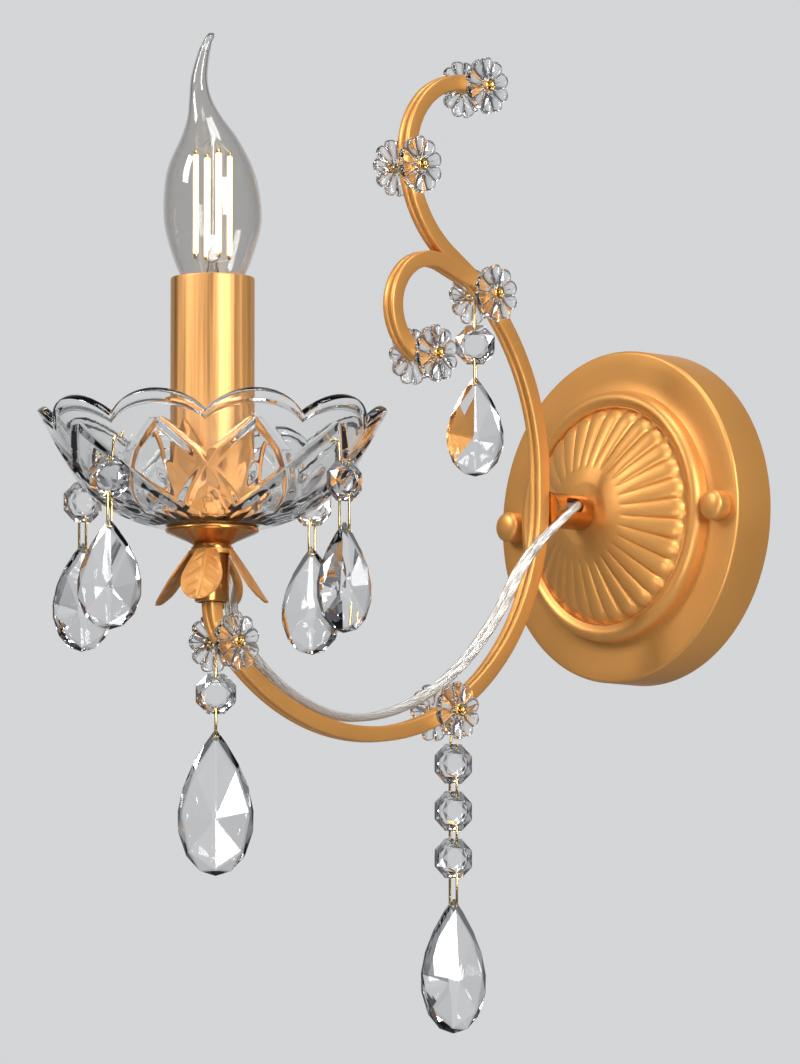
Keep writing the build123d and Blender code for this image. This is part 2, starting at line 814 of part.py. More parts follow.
def bulb_filaments():
    """The glass stem with its support wire, and four straight light strips round it."""
    axis = at(0, candle_reach, 0)
    base = bulb_stations[0][0] + bulb_glass_wall + 0.1
    stem = tapered(axis + Vector(0, 0, base), Vector(0, 0, 1), [(0, 3.4), (6, 1.9), (12, 1.7)], 8)
    stem += prism(axis + Vector(0, 0, base + 11), axis + Vector(0, 0, filament_top_z + 8), 0.4, 6)
    strips = [stem]
    for i in range(4):
        way = compass(filament_azimuth + 90 * i)
        foot = axis + Vector(0, 0, filament_foot_z) + way * filament_circle_r
        plane = Plane(origin=foot, x_dir=way, z_dir=(0, 0, 1))
        strips.append(extrude(plane * Rectangle(1.0, 1.6), amount=filament_top_z - filament_foot_z))
    return strips


# ---------------------------------------------------------------- flex

def flex_route():
    """The flat flex's corners, each with the way its two cores lie apart.

    It leaves the stub's side hole, crosses to the arm's inner face, hangs a little slack down the
    scroll's wall side, lies on its floor, and climbs into the candle cup's socket.
    """
    level = Vector(1, 0, 0)
    route = [
        (at(2.0, 44.0, 1.8), Vector(0, 1, 0)),
        (at(8.6, 45.4, 1.6), Vector(0.2, 0.8, 0.5)),
        (at(9.6, 52.6, -3.0), Vector(0.6, 0.35, 0.65)),
        (at(6.0, 61.6, -11.6), Vector(0.85, 0.2, 0.4)),
    ]
    for angle, inward in ((197, 6.0), (214, 8.6), (236, 8.5), (258, 6.3), (277, 3.4), (296, 3.9), (312, 5.7)):
        reach, z = on_scroll(angle, -inward)
        route.append((at(0, reach, z), level))
    for reach, z in ((205.6, -51.0), (207.3, -41.0), (209.2, -34.6), (214.0, -32.2)):
        route.append((at(0, reach, z), level))
    return route


def supply_flex():
    """The two cores of the flat flex, each swept along its own line beside the flex's middle."""
    cores = []
    for side in (-1, 1):
        half = side * (core_r + core_gap / 2)
        corners = flex_route()
        points = [middle + apart.normalized() * half for middle, apart in corners]
        radii = []
        for i in range(1, len(points) - 1):
            before = points[i] - points[i - 1]
            after = points[i + 1] - points[i]
            tangent = 0.48 * min(before.length, after.length)
            radii.append(tangent / tan(radians(before.get_angle(after)) / 2))
        path = FilletPolyline(*points, radius=radii)
        start = Plane(origin=path @ 0, z_dir=path % 0)
        cores.append(sweep(start * RegularPolygon(radius=core_r, side_count=core_sides), path=path))
        print("flex core length", round(path.length, 1), "smallest bend", round(min(radii), 1))
    return cores


# ---------------------------------------------------------------- hanging strings

def hang_from_pan():
    for name, azimuth in zip(pan_names, pan_azimuths):
        facing = compass(pan_facings[name])
        centre = bead_centre_on_pan(azimuth)
        write(f"{name}_hook", pan_hook(azimuth, facing))
        write(f"{name}_bead", bead(centre, facing))
        lower = centre - Vector(0, 0, bead_hole_offset)
        write(f"{name}_link", link(lower, facing, small_link))
        tip = lower - Vector(0, 0, small_link - drop_tip_hole)
        write(f"{name}_drop", almond(tip, facing, *small_drop))


def hang_from_pin(name, side, place, bead_count, fall, first_link, last_link, drop, azimuth):
    facing = compass(azimuth)
    reach, z = place
    centre = at(side * eye_x, reach, z - fall)
    upper = centre + Vector(0, 0, bead_hole_offset)
    write(f"{name}_hook", pin_hook(side, reach, z, upper, facing))
    for i in range(bead_count):
        tag = f"_{i + 1}" if bead_count > 1 else ""
        write(f"{name}_bead{tag}", bead(centre, facing))
        lower = centre - Vector(0, 0, bead_hole_offset)
        length = last_link if i == bead_count - 1 else first_link
        write(f"{name}_link{tag}", link(lower, facing, length))
        centre = lower - Vector(0, 0, length + bead_hole_offset)
    tip = lower - Vector(0, 0, length - drop_tip_hole)
    write(f"{name}_drop", almond(tip, facing, *drop))


def build():
    os.makedirs(PARTS, exist_ok=True)
    write("wall_bar", mounting_bar())
    write("canopy_studs", *canopy_studs())
    write("canopy", canopy())
    write("cap_nut_left", cap_nut(-stud_spacing / 2))
    write("cap_nut_right", cap_nut(stud_spacing / 2))
    write("stub_tube", stub_tube())
    write("lock_nuts", *lock_nuts())
    write("terminal_block", terminal_block())

    places = rosette_places()
    pin_holes = [clear_hole(at(-9, p.X, p.Y), at(9, p.X, p.Y), pin_r + 0.02) for p in places.values()]
    arm = swept_bar(arm_route())
    curl = (swept_bar(curl_route()) - arm).solids().sort_by(SortBy.VOLUME)[-1]
    for hole in pin_holes:
        arm -= hole
        curl -= hole
    write("main_arm", arm)
    write("scroll_curl", curl)
    for name, p in places.items():
        write(f"rosettes_{name}", rosette(p.X, p.Y, 1), rosette(p.X, p.Y, -1))
    write("rosette_pins", *[rosette_pin(p.X, p.Y) for p in places.values()])

    write("candle_cup", candle_cup())
    write("lower_leaves", lower_leaves())
    write("drip_pan", bobeche())
    write("upper_leaves", upper_leaves())
    write("candle_sleeve", candle_sleeve())
    write("threaded_nipple", threaded_nipple())
    write("lampholder", lampholder())
    write("bulb_glass", bulb_glass())
    write("bulb_cap", bulb_cap())
    write("bulb_filaments", *bulb_filaments())
    write("supply_flex", *supply_flex())

    hang_from_pan()
    middle, scroll, candle = places["middle"], places["scroll"], places["candle"]
    hang_from_pin("arm_string", -1, (middle.X, middle.Y), 1, 17.6, 0, 9.4, (36.0, 20.5), 40)
    hang_from_pin("cup_string", -1, (candle.X, candle.Y), 1, 17.6, 0, 10.3, (51.0, 26.5), 46)
    hang_from_pin("scroll_string", 1, (scroll.X, scroll.Y), 3, 18.8, 6.7, 12.3, (47.5, 25.0), 72)


build()
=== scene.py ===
"""The looks of a crystal wall sconce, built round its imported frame.

Shapes are worked out in millimetres and stored in metres, in the frame's own axes: the wall is
the plane Y = 0, the arm stands out of it towards -Y in the plane X = 0, and +Z is up.
"reach" is a distance out from the wall. "azimuth" turns round an upright line: 0 points out of
the wall and 90 points to +X.
"""

from math import copysign, cos, hypot, pi, radians, sin, sqrt

import bmesh
import bpy
from mathutils import Matrix, Vector


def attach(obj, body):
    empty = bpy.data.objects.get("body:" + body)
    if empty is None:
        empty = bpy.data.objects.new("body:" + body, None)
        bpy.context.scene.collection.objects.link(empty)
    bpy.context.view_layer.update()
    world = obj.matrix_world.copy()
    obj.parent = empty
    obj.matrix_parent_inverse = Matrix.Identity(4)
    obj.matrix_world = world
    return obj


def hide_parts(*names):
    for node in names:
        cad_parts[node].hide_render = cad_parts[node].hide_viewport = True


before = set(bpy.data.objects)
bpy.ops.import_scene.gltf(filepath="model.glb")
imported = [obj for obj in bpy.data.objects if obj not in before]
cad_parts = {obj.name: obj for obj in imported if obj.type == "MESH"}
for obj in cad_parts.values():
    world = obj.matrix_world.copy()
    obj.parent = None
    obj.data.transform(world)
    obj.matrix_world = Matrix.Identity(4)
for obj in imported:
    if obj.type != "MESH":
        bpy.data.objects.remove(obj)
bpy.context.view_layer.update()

MM = 0.001
scene = bpy.context.scene


def at(x, reach, z):
    """A point in millimetres from its side offset, its reach and its height."""
    return Vector((x, -reach, z))


def upward(height):
    return Vector((0, 0, height))


def compass(azimuth):
    """The level unit vector along an azimuth in degrees."""
    return Vector((sin(radians(azimuth)), -cos(radians(azimuth)), 0))


def all_round(count):
    """Even turns of a full circle."""
    return [2 * pi * i / count for i in range(count)]


def smooth_step(low, high, value):
    share = min(1.0, max(0.0, (value - low) / (high - low)))
    return share * share * (3 - 2 * share)


# ------------------------------------------------------------------ camera

VIEW_AZIMUTH = 46.3
VIEW_RISE = -6.1
VIEW_DISTANCE = 3500.0
VIEW_RIGHT = 90.82
VIEW_UP = 4.17
FOCAL_PIXELS = 9686.0
PHOTO_WIDTH = 800.0


def place_camera():
    """The camera at the photograph's angle, with its real perspective, and the way back to it."""
    turn, rise = radians(VIEW_AZIMUTH), radians(VIEW_RISE)
    right = Vector((cos(turn), sin(turn), 0))
    back = Vector((sin(turn) * cos(rise), -cos(turn) * cos(rise), sin(rise)))
    up = back.cross(right)
    spot = (back * VIEW_DISTANCE - right * VIEW_RIGHT - up * VIEW_UP) * MM
    data = bpy.data.cameras.new("camera")
    data.sensor_fit = "HORIZONTAL"
    data.sensor_width = 36.0
    data.lens = FOCAL_PIXELS / PHOTO_WIDTH * data.sensor_width
    data.clip_start = 0.1
    data.clip_end = 30.0
    camera = bpy.data.objects.new("camera", data)
    scene.collection.objects.link(camera)
    camera.matrix_world = Matrix.Translation(spot) @ Matrix((right, up, back)).transposed().to_4x4()
    scene.camera = camera
    return back


view_back = place_camera()


# ------------------------------------------------------------------ materials

def add(tree, kind, ins=None, **settings):
    """A new node. settings are its own properties; ins gives its sockets a value or a socket to come from."""
    node = tree.nodes.new(kind)
    for name, value in settings.items():
        setattr(node, name, value)
    feed(tree, node, ins or {})
    return node


def feed(tree, node, ins):
    """Set or link a node's inputs."""
    for name, value in ins.items():
        if isinstance(value, bpy.types.NodeSocket):
            tree.links.new(value, node.inputs[name])
        else:
            node.inputs[name].default_value = value


def maths(tree, kind, first, second):
    return add(tree, "ShaderNodeMath", {0: first, 1: second}, operation=kind).outputs[0]


def noise(tree, **ins):
    """Noise over the object's own coordinates."""
    place = add(tree, "ShaderNodeTexCoord").outputs["Object"]
    return add(tree, "ShaderNodeTexNoise", {"Vector": place, **ins}).outputs["Fac"]


def blend(tree, share, first, second):
    """Two colours mixed; each is a socket or a plain colour."""
    first, second = ((*value, 1) if isinstance(value, tuple) else value for value in (first, second))
    return add(tree, "ShaderNodeMixRGB", {"Fac": share, "Color1": first, "Color2": second}).outputs["Color"]


def layered(tree, share, first, second):
    """Two shaders mixed."""
    return add(tree, "ShaderNodeMixShader", {"Fac": share, 1: first, 2: second}).outputs["Shader"]


def relief(tree, height, strength, distance):
    ins = {"Height": height, "Strength": strength, "Distance": distance}
    return add(tree, "ShaderNodeBump", ins).outputs["Normal"]


def shader(name):
    material = bpy.data.materials.new(name)
    material.use_nodes = True
    tree = material.node_tree
    return material, tree, tree.nodes["Principled BSDF"]


def wear_group():
    """A node group for painted and drawn metal: fine grain, broad tone and a faint bump."""
    group = bpy.data.node_groups.new("metal_wear", "ShaderNodeTree")
    for label, kind, value in (
        ("Colour", "Color", (0.8, 0.5, 0.2, 1)), ("Tone", "Float", 0.06), ("Grain size", "Float", 4000.0),
        ("Grain", "Float", 0.05), ("Roughness", "Float", 0.35), ("Streaks", "Float", 0.0),
    ):
        socket = group.interface.new_socket(label, in_out="INPUT", socket_type=f"NodeSocket{kind}")
        socket.default_value = value
    for label, kind in (("Colour", "Color"), ("Roughness", "Float"), ("Height", "Float")):
        group.interface.new_socket(label, in_out="OUTPUT", socket_type=f"NodeSocket{kind}")
    given = add(group, "NodeGroupInput").outputs
    place = add(group, "ShaderNodeTexCoord").outputs["Object"]
    broad = add(group, "ShaderNodeTexNoise", {"Vector": place, "Scale": 45.0, "Detail": 3.0})
    fine = add(group, "ShaderNodeTexNoise", {"Vector": place, "Scale": given["Grain size"], "Detail": 2.0})
    # Drawn tubes carry long streaks: noise that is squeezed sideways and stretched upright.
    squeeze = add(group, "ShaderNodeVectorMath", {0: place, 1: (420.0, 420.0, 6.0)}, operation="MULTIPLY")
    streak = add(group, "ShaderNodeTexNoise", {"Vector": squeeze.outputs[0], "Scale": 1.0, "Detail": 4.0})

    def about_zero(texture, amount):
        middle = maths(group, "SUBTRACT", texture.outputs["Fac"], 0.5)
        return maths(group, "MULTIPLY", middle, given[amount])

    def total(first, second):
        return maths(group, "ADD", first, second)

    tone, drawn, speck = about_zero(broad, "Tone"), about_zero(streak, "Streaks"), about_zero(fine, "Grain")
    light = total(1.0, total(maths(group, "MULTIPLY", tone, 2.0), total(drawn, speck)))
    colour = add(group, "ShaderNodeVectorMath", {0: given["Colour"], "Scale": light}, operation="SCALE")
    add(group, "NodeGroupOutput", {
        "Colour": colour.outputs[0],
        "Roughness": total(given["Roughness"], total(tone, maths(group, "MULTIPLY", drawn, 0.5))),
        "Height": total(speck, maths(group, "MULTIPLY", drawn, 0.6)),
    })
    return group


metal_wear = wear_group()


def metal(name, colour, roughness, metallic, tone=0.06, grain=0.06, streaks=0.0, bump=0.12):
    """A metal or metallic paint whose colour, gloss and relief come from the wear group."""
    material, tree, base = shader(name)
    wear = add(tree, "ShaderNodeGroup", node_tree=metal_wear)
    feed(tree, wear, {"Colour": (*colour, 1), "Tone": tone, "Grain": grain, "Grain size": 2600.0,
                      "Roughness": roughness, "Streaks": streaks})
    feed(tree, base, {
        "Base Color": wear.outputs["Colour"], "Roughness": wear.outputs["Roughness"], "Metallic": metallic,
        "Normal": relief(tree, wear.outputs["Height"], bump, 0.0002),
    })
    return material


def clear(name, colour, ior, roughness=0.0, dust=0.02, ripple=0.0, ripple_size=300.0):
    """Clear glass or plastic; shadow rays pass, so that what stands behind it stays lit."""
    material, tree, base = shader(name)
    waves = noise(tree, Scale=ripple_size, Detail=3.0)
    shade = add(tree, "ShaderNodeMapRange", {"Value": waves, "To Min": roughness, "To Max": roughness + dust})
    darker = tuple(channel * 0.97 for channel in colour)
    feed(tree, base, {
        "Transmission Weight": 1.0, "IOR": ior, "Roughness": shade.outputs["Result"],
        "Base Color": blend(tree, waves, colour, darker),
    })
    if ripple:
        feed(tree, base, {"Normal": relief(tree, waves, ripple, 0.0003)})
    rays = add(tree, "ShaderNodeLightPath")
    through = add(tree, "ShaderNodeBsdfTransparent", {"Color": (0.86, 0.87, 0.88, 1)})
    surface = layered(tree, rays.outputs["Is Shadow Ray"], base.outputs["BSDF"], through.outputs["BSDF"])
    feed(tree, tree.nodes["Material Output"], {"Surface": surface})
    return material


def glowing(name, colour, strength):
    """The lit phosphor of a light strip, with a faint mottle, pale in its middle and amber at its sides."""
    material, tree, base = shader(name)
    mottled = blend(tree, noise(tree, Scale=900.0), colour, (1.0, 0.86, 0.6))
    side = add(tree, "ShaderNodeLayerWeight", {"Blend": 0.35}).outputs["Facing"]
    feed(tree, base, {
        "Base Color": mottled, "Emission Color": blend(tree, side, mottled, (0.55, 0.20, 0.03)),
        "Emission Strength": strength,
    })
    return material


gold_paint = metal("gold_paint", (0.68, 0.32, 0.083), 0.42, 0.62, tone=0.05, grain=0.10)
gold_leafed = metal("gold_stamped", (0.50, 0.225, 0.058), 0.44, 0.60, tone=0.10, grain=0.10)
gold_drawn = metal("gold_drawn_tube", (0.62, 0.305, 0.098), 0.46, 0.60, tone=0.03, grain=0.03, streaks=2.0,
                   bump=0.7)
# Turned cup and stub: the gloss is the polished metal's own, but the base colour is darker than the paint as
# a painted dark reflection of the room.
gold_turned = metal("gold_turned", (0.56, 0.24, 0.06), 0.22, 0.92, tone=0.03, grain=0.03, bump=0.05)
brass = metal("brass_wire", (0.83, 0.62, 0.27), 0.16, 1.0, tone=0.04, grain=0.03, bump=0.05)
steel = metal("zinc_steel", (0.58, 0.58, 0.56), 0.34, 0.9, tone=0.06, streaks=0.12)
bulb_metal = metal("bulb_cap_metal", (0.72, 0.72, 0.71), 0.24, 0.95, tone=0.04)
strand = metal("tinned_strand", (0.80, 0.79, 0.77), 0.36, 0.9, tone=0.03, grain=0.02)
plastic = metal("white_plastic", (0.80, 0.78, 0.73), 0.45, 0.0, tone=0.02, grain=0.03)
cut_glass = clear("cut_glass", (0.97, 0.975, 0.98), 1.60, dust=0.004)
pressed_glass = clear("pressed_glass", (0.97, 0.975, 0.975), 1.52, dust=0.02, ripple=0.04, ripple_size=200.0)
bowl_glass = clear("bowl_glass", (0.975, 0.98, 0.975), 1.50, dust=0.015, ripple=0.06, ripple_size=180.0)
thin_glass = clear("bulb_glass", (0.80, 0.785, 0.765), 1.45, dust=0.01)
clear_vinyl = clear("clear_vinyl", (0.93, 0.92, 0.89), 1.46, roughness=0.03, dust=0.06, ripple=0.15,
                    ripple_size=700.0)
light_strip = glowing("filament_light", (1.0, 0.66, 0.27), 2.2)

for node, finish in (
    ("wall_bar", steel), ("canopy_studs", steel), ("lock_nuts", steel), ("threaded_nipple", steel),
    ("terminal_block", plastic), ("lampholder", plastic),
):
    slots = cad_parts[node].data.materials
    if len(slots):
        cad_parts[node].material_slots[0].material = finish
    else:
        slots.append(finish)


# ------------------------------------------------------------------ making pieces

CREASE = 38  # degrees; a sharper edge stays sharp


def keep(name, mesh, material, body="sconce", nodes=None, flat=False):
    """Put a finished mesh in the scene as one piece on a body.

    It stands for the CAD node of its own name, unless nodes says otherwise."""
    nodes = [name] if nodes is None else nodes
    mesh.materials.clear()
    mesh.materials.append(material)
    for polygon in mesh.polygons:
        polygon.material_index = 0
        polygon.use_smooth = not flat
    if not flat:
        mesh.set_sharp_from_angle(angle=radians(CREASE))
    piece = bpy.data.objects.new(f"shown_{name}", mesh)
    scene.collection.objects.link(piece)
    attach(piece, body)
    if nodes:
        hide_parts(*nodes)
    return piece


def cleaned(mesh, merge, slivers=None):
    """The same mesh with its doubles merged within a distance and its faces turned outward."""
    work = bmesh.new()
    work.from_mesh(mesh)
    bmesh.ops.remove_doubles(work, verts=work.verts, dist=merge)
    if slivers:
        bmesh.ops.dissolve_degenerate(work, edges=work.edges, dist=slivers)
    bmesh.ops.recalc_face_normals(work, faces=work.faces)
    work.to_mesh(mesh)
    work.free()
    return mesh


def mesh_of(points, faces, outward=True):
    """A mesh in metres from points in millimetres, as a rule cleaned."""
    mesh = bpy.data.meshes.new("shape")
    mesh.from_pydata([tuple(Vector(point) * MM) for point in points], [], faces)
    return cleaned(mesh, 1e-7) if outward else mesh


def joined(meshes):
    """Several meshes as one."""
    work = bmesh.new()
    for mesh in meshes:
        work.from_mesh(mesh)
    result = bpy.data.meshes.new("joined")
    work.to_mesh(result)
    work.free()
    return result


def moved(mesh, matrix):
    """A copy of a mesh, moved by a matrix whose shift is in millimetres."""
    copy = mesh.copy()
    matrix = matrix.copy()
    matrix.translation *= MM
    copy.transform(matrix)
    return copy


def grid_faces(rows, columns, closed):
    """Faces over rows of points; closed joins the last column to the first."""
    faces = []
    last = columns if closed else columns - 1
    for row in range(rows - 1):
        for column in range(last):
            right = (column + 1) % columns
            faces.append((row * columns + column, row * columns + right,
                          (row + 1) * columns + right, (row + 1) * columns + column))
    return faces


def capped_faces(rows, sides):
    """Faces over closed rows of points, and over both ends."""
    ends = [tuple(range(sides)), tuple(range((rows - 1) * sides, rows * sides))]
    return grid_faces(rows, sides, True) + ends


def turned(profile, place, steps=96):
    """A closed (radius, height) outline turned round a line; place maps (radius, turn, height)."""
    points = [place(r, turn, h) for r, h in profile + profile[:1] for turn in all_round(steps)]
    return mesh_of(points, grid_faces(len(profile) + 1, steps, True))


CANDLE_REACH = 215.5
AXIS_R = 0.001  # an outline ends this close to its line


def on_candle(r, turn, z):
    return Vector((r * sin(turn), -CANDLE_REACH - r * cos(turn), z))


def round_candle(azimuth):
    """Moves what stands round the upright line to the candle, its first slice at an azimuth."""
    return Matrix.Translation(at(0, CANDLE_REACH, 0)) @ Matrix.Rotation(radians(azimuth - 90), 4, "Z")


def on_canopy(r, turn, reach):
    return Vector((r * cos(turn), -reach, r * sin(turn)))


def through(points, share):
    """A smooth run through listed points, share 0 to 1."""
    total = len(points) - 1
    i = min(total - 1, int(share * total))
    t = share * total - i
    p = [Vector(points[max(0, min(total, i + k))]) for k in (-1, 0, 1, 2)]
    return 0.5 * ((2 * p[1]) + (p[2] - p[0]) * t + (2 * p[0] - 5 * p[1] + 4 * p[2] - p[3]) * t * t
                  + (3 * p[1] - p[0] - 3 * p[2] + p[3]) * t**3)


# ------------------------------------------------------------------ node trees

def node_tree(name, inputs):
    """A geometry node tree with named inputs after its geometry, and the sockets that give them."""
    tree = bpy.data.node_groups.new(name, "GeometryNodeTree")
    for label, kind in {"Geometry": "Geometry", **inputs, "Material": "Material"}.items():
        tree.interface.new_socket(label, in_out="INPUT", socket_type=f"NodeSocket{kind}")
    tree.interface.new_socket("Geometry", in_out="OUTPUT", socket_type="NodeSocketGeometry")
    return tree, add(tree, "NodeGroupInput").outputs


def made_real(tree, instances):
    return add(tree, "GeometryNodeRealizeInstances", {"Geometry": instances}).outputs["Geometry"]


def finish_tree(tree, given, geometry):
    """Every tree ends alike: real geometry with the material asked for."""
    dress = add(tree, "GeometryNodeSetMaterial", {
        "Geometry": made_real(tree, geometry), "Material": given["Material"]})
    add(tree, "NodeGroupOutput", {"Geometry": dress.outputs["Geometry"]})
    return tree


def circle(tree, sides, radius):
    ins = {"Resolution": sides, "Radius": radius}
    return add(tree, "GeometryNodeCurvePrimitiveCircle", ins).outputs["Curve"]


def swept(tree, route, section):
    """A section carried along a route, with its ends closed."""
    return add(tree, "GeometryNodeCurveToMesh", {
        "Curve": route, "Profile Curve": section, "Fill Caps": True}).outputs["Mesh"]


def ring_tree():
    """Repeats one slice round the upright line through the origin and welds the slices."""
    tree, given = node_tree("repeat_round", {"Count": "Int"})
    spots = add(tree, "GeometryNodeMeshLine", {"Offset": (0, 0, 0), "Count": given["Count"]})
    index = add(tree, "GeometryNodeInputIndex").outputs["Index"]
    turn = maths(tree, "MULTIPLY", maths(tree, "DIVIDE", index, given["Count"]), 2 * pi)
    copies = add(tree, "GeometryNodeInstanceOnPoints", {
        "Points": spots.outputs["Mesh"], "Instance": given["Geometry"],
        "Rotation": add(tree, "ShaderNodeCombineXYZ", {"Z": turn}).outputs["Vector"]})
    welded = add(tree, "GeometryNodeMergeByDistance", {
        "Geometry": made_real(tree, copies.outputs["Instances"]), "Distance": 2e-6})
    return finish_tree(tree, given, welded.outputs["Geometry"])


def wire_tree():
    """A round wire along a bent line, with a small bend radius at each corner."""
    tree, given = node_tree("bent_wire", {"Radius": "Float", "Bend": "Float", "Sides": "Int"})
    bend = add(tree, "GeometryNodeFilletCurve", mode="POLY")
    feed(tree, bend, {"Curve": given["Geometry"], "Radius": given["Bend"], "Count": 5})
    section = circle(tree, given["Sides"], given["Radius"])
    return finish_tree(tree, given, swept(tree, bend.outputs["Curve"], section))


def strand_tree():
    """A bundle of thin wires laid round a line and twisted along it."""
    tree, given = node_tree("twisted_strands", {
        "Count": "Int", "Lay radius": "Float", "Radius": "Float", "Turns": "Float"})
    along = add(tree, "GeometryNodeSplineParameter").outputs["Factor"]
    twist = maths(tree, "MULTIPLY", along, maths(tree, "MULTIPLY", given["Turns"], 2 * pi))
    tilt = add(tree, "GeometryNodeSetCurveTilt", {"Curve": given["Geometry"], "Tilt": twist})
    bundle = add(tree, "GeometryNodeInstanceOnPoints", {
        "Points": circle(tree, given["Count"], given["Lay radius"]),
        "Instance": circle(tree, 6, given["Radius"])})
    section = made_real(tree, bundle.outputs["Instances"])
    return finish_tree(tree, given, swept(tree, tilt.outputs["Curve"], section))


def sweep_tree():
    """Sweeps a section, drawn on another curve object, along a route."""
    tree, given = node_tree("swept_bar", {"Section": "Object"})
    section = add(tree, "GeometryNodeObjectInfo", {"Object": given["Section"]}).outputs["Geometry"]
    return finish_tree(tree, given, swept(tree, given["Geometry"], section))


repeat_round = ring_tree()
bent_wire = wire_tree()
twisted_strands = strand_tree()
swept_bar = sweep_tree()


def grown(tree, base, **values):
    """The plain mesh that a node tree makes of a base mesh or curve."""
    holder = bpy.data.objects.new("base", base)
    scene.collection.objects.link(holder)
    modifier = holder.modifiers.new("grow", "NODES")
    modifier.node_group = tree
    for item in tree.interface.items_tree:
        label = item.name.lower().replace(" ", "_")
        if item.in_out == "INPUT" and label in values:
            modifier[item.identifier] = values[label]
    ready = bpy.context.evaluated_depsgraph_get()
    mesh = bpy.data.meshes.new_from_object(holder.evaluated_get(ready), depsgraph=ready)
    holder.modifiers.remove(modifier)
    bpy.data.objects.remove(holder)
    return mesh


def line_curve(points, closed=False, smooth=False, resolution=12):
    """A curve through points in millimetres: straight runs, or one smooth spline round its corners."""
    data = bpy.data.curves.new("line", "CURVE")
    data.dimensions = "3D"
    spline = data.splines.new("NURBS" if smooth else "POLY")
    spline.points.add(len(points) - 1)
    for spot, point in zip(spline.points, points):
        spot.co = (*(Vector(point) * MM), 1)
    spline.use_cyclic_u = closed
    if smooth:
        spline.order_u = 3
        spline.use_endpoint_u = True
        data.resolution_u = resolution
    return data


# ------------------------------------------------------------------ canopy and its nuts

CANOPY_R = 60.0
CANOPY_DEPTH = 17.1
RIM_ROUND = 1.2
RING_OUTER_R = 45.5
RING_TOP = 23.0
DOME_EDGE_R = 38.8
DOME_EDGE_REACH = 22.6
DOME_FLAT_R = 16.5
DOME_TOP = 34.7
DOME_CENTRE_R = 11.0
FLUTES = 30
FLUTE_END_R = 38.4
FLUTE_START_R = 17.6
FLUTE_SHALLOW = 0.35
FLUTE_DEEP = 1.9
CANOPY_WALL = 1.6
MOUTH_R = 43.1  # the dish's own face ends here, behind the ring
STUB_TAIL_R = 5.35

# Turns local up into "out of the wall", and local Y into world up.
out_of_wall = Matrix.Rotation(pi / 2, 4, "X")


def dome_height(r, u):
    """Reach of the dome's outside; u runs from -1 to 1 across one rib, from groove to groove."""
    out = max(0.0, (r - DOME_CENTRE_R) / (DOME_EDGE_R - DOME_CENTRE_R))
    base = DOME_TOP - (DOME_TOP - DOME_EDGE_REACH - 0.4) * out**1.35
    along = (r - FLUTE_START_R) / (FLUTE_END_R - FLUTE_START_R)
    depth = FLUTE_SHALLOW + (FLUTE_DEEP - FLUTE_SHALLOW) * max(0.0, min(1.0, along))
    half = r * sin(pi / FLUTES)
    tip = FLUTE_END_R - half
    over = max(0.0, (r - tip) / half)
    inward = max(0.0, (FLUTE_START_R + 0.6 * half - r) / half)
    off = min(1.0, hypot(abs(u), max(over, 0.8 * inward)))
    rib = (1 - off**2.2) ** 0.5
    fade = smooth_step(FLUTE_START_R - 1.2, FLUTE_START_R + 1.0, r)
    return base - depth * (1 - rib) * fade


def level_rows(outline):
    """Rows of a slice that don't change across it."""
    return [lambda u, r=r, h=h: (r, h) for r, h in outline]


def canopy_shell():
    """One rib's slice of the canopy, repeated round its centre."""
    inner_reach = CANOPY_DEPTH - CANOPY_WALL
    edge = [(CANOPY_R - RIM_ROUND * (1 - cos(turn)), CANOPY_DEPTH - RIM_ROUND * (1 - sin(turn)))
            for turn in [pi / 2 * step / 4 for step in range(5)]]
    ring_half, ring_foot = 3.1, CANOPY_DEPTH + 2.2
    ring_rise = RING_TOP - ring_foot
    ring = [(RING_OUTER_R + 0.2, CANOPY_DEPTH), (RING_OUTER_R, CANOPY_DEPTH + 0.1)]
    ring += [(RING_OUTER_R - ring_half + ring_half * cos(turn), ring_foot + ring_rise * sin(turn))
             for turn in [pi * step / 10 for step in range(8)]]
    ring += [(DOME_EDGE_R + 0.9, RING_TOP - 1.2), (DOME_EDGE_R + 0.5, DOME_EDGE_REACH - 0.5)]
    face = [(55.0, CANOPY_DEPTH), (50.0, CANOPY_DEPTH)]
    rows = level_rows([(CANOPY_R, 0.0), (CANOPY_R, 4.0)] + edge + face + ring)
    dome_steps = 44
    for step in range(dome_steps + 1):
        share = step / dome_steps
        r = DOME_EDGE_R - (DOME_EDGE_R - DOME_CENTRE_R) * (1 - (1 - share) ** 1.5)
        rows.append(lambda u, r=r: (r, dome_height(r, u)))
    rows += level_rows([
        (8.0, DOME_TOP), (STUB_TAIL_R, DOME_TOP), (STUB_TAIL_R, DOME_TOP - CANOPY_WALL),
        (DOME_FLAT_R, DOME_TOP - CANOPY_WALL - 0.4), (DOME_EDGE_R - 0.8, DOME_EDGE_REACH - CANOPY_WALL - 0.8),
        (MOUTH_R, CANOPY_DEPTH - 0.2), (MOUTH_R, inner_reach), (CANOPY_R - CANOPY_WALL, inner_reach),
        (CANOPY_R - CANOPY_WALL, 0.0)])
    rows.append(rows[0])
    piece = around(slice_of(rows, FLUTES, 14), FLUTES, gold_paint)
    keep("canopy_shell", moved(piece, out_of_wall), gold_paint, nodes=["canopy"])


def slice_of(rows, count, steps):
    """One slice of a repeated body: each row gives (radius, height) across the slice, u from -1 to 1."""
    points = []
    for row in rows:
        for i in range(steps + 1):
            u = 2 * i / steps - 1
            r, h = row(u)
            turn = pi / count * u
            points.append((r * cos(turn), r * sin(turn), h))
    return mesh_of(points, grid_faces(len(rows), steps + 1, False), outward=False)


def around(piece, count, material):
    """A slice repeated round the upright line and welded, with its faces outward."""
    return cleaned(grown(repeat_round, piece, count=count, material=material), 3e-6, slivers=1e-7)


NUT_R = 5.4
NUT_LENGTH = 7.0
NUT_DOME = 2.4
STUD_R = 2.06
STUD_X = 52.0


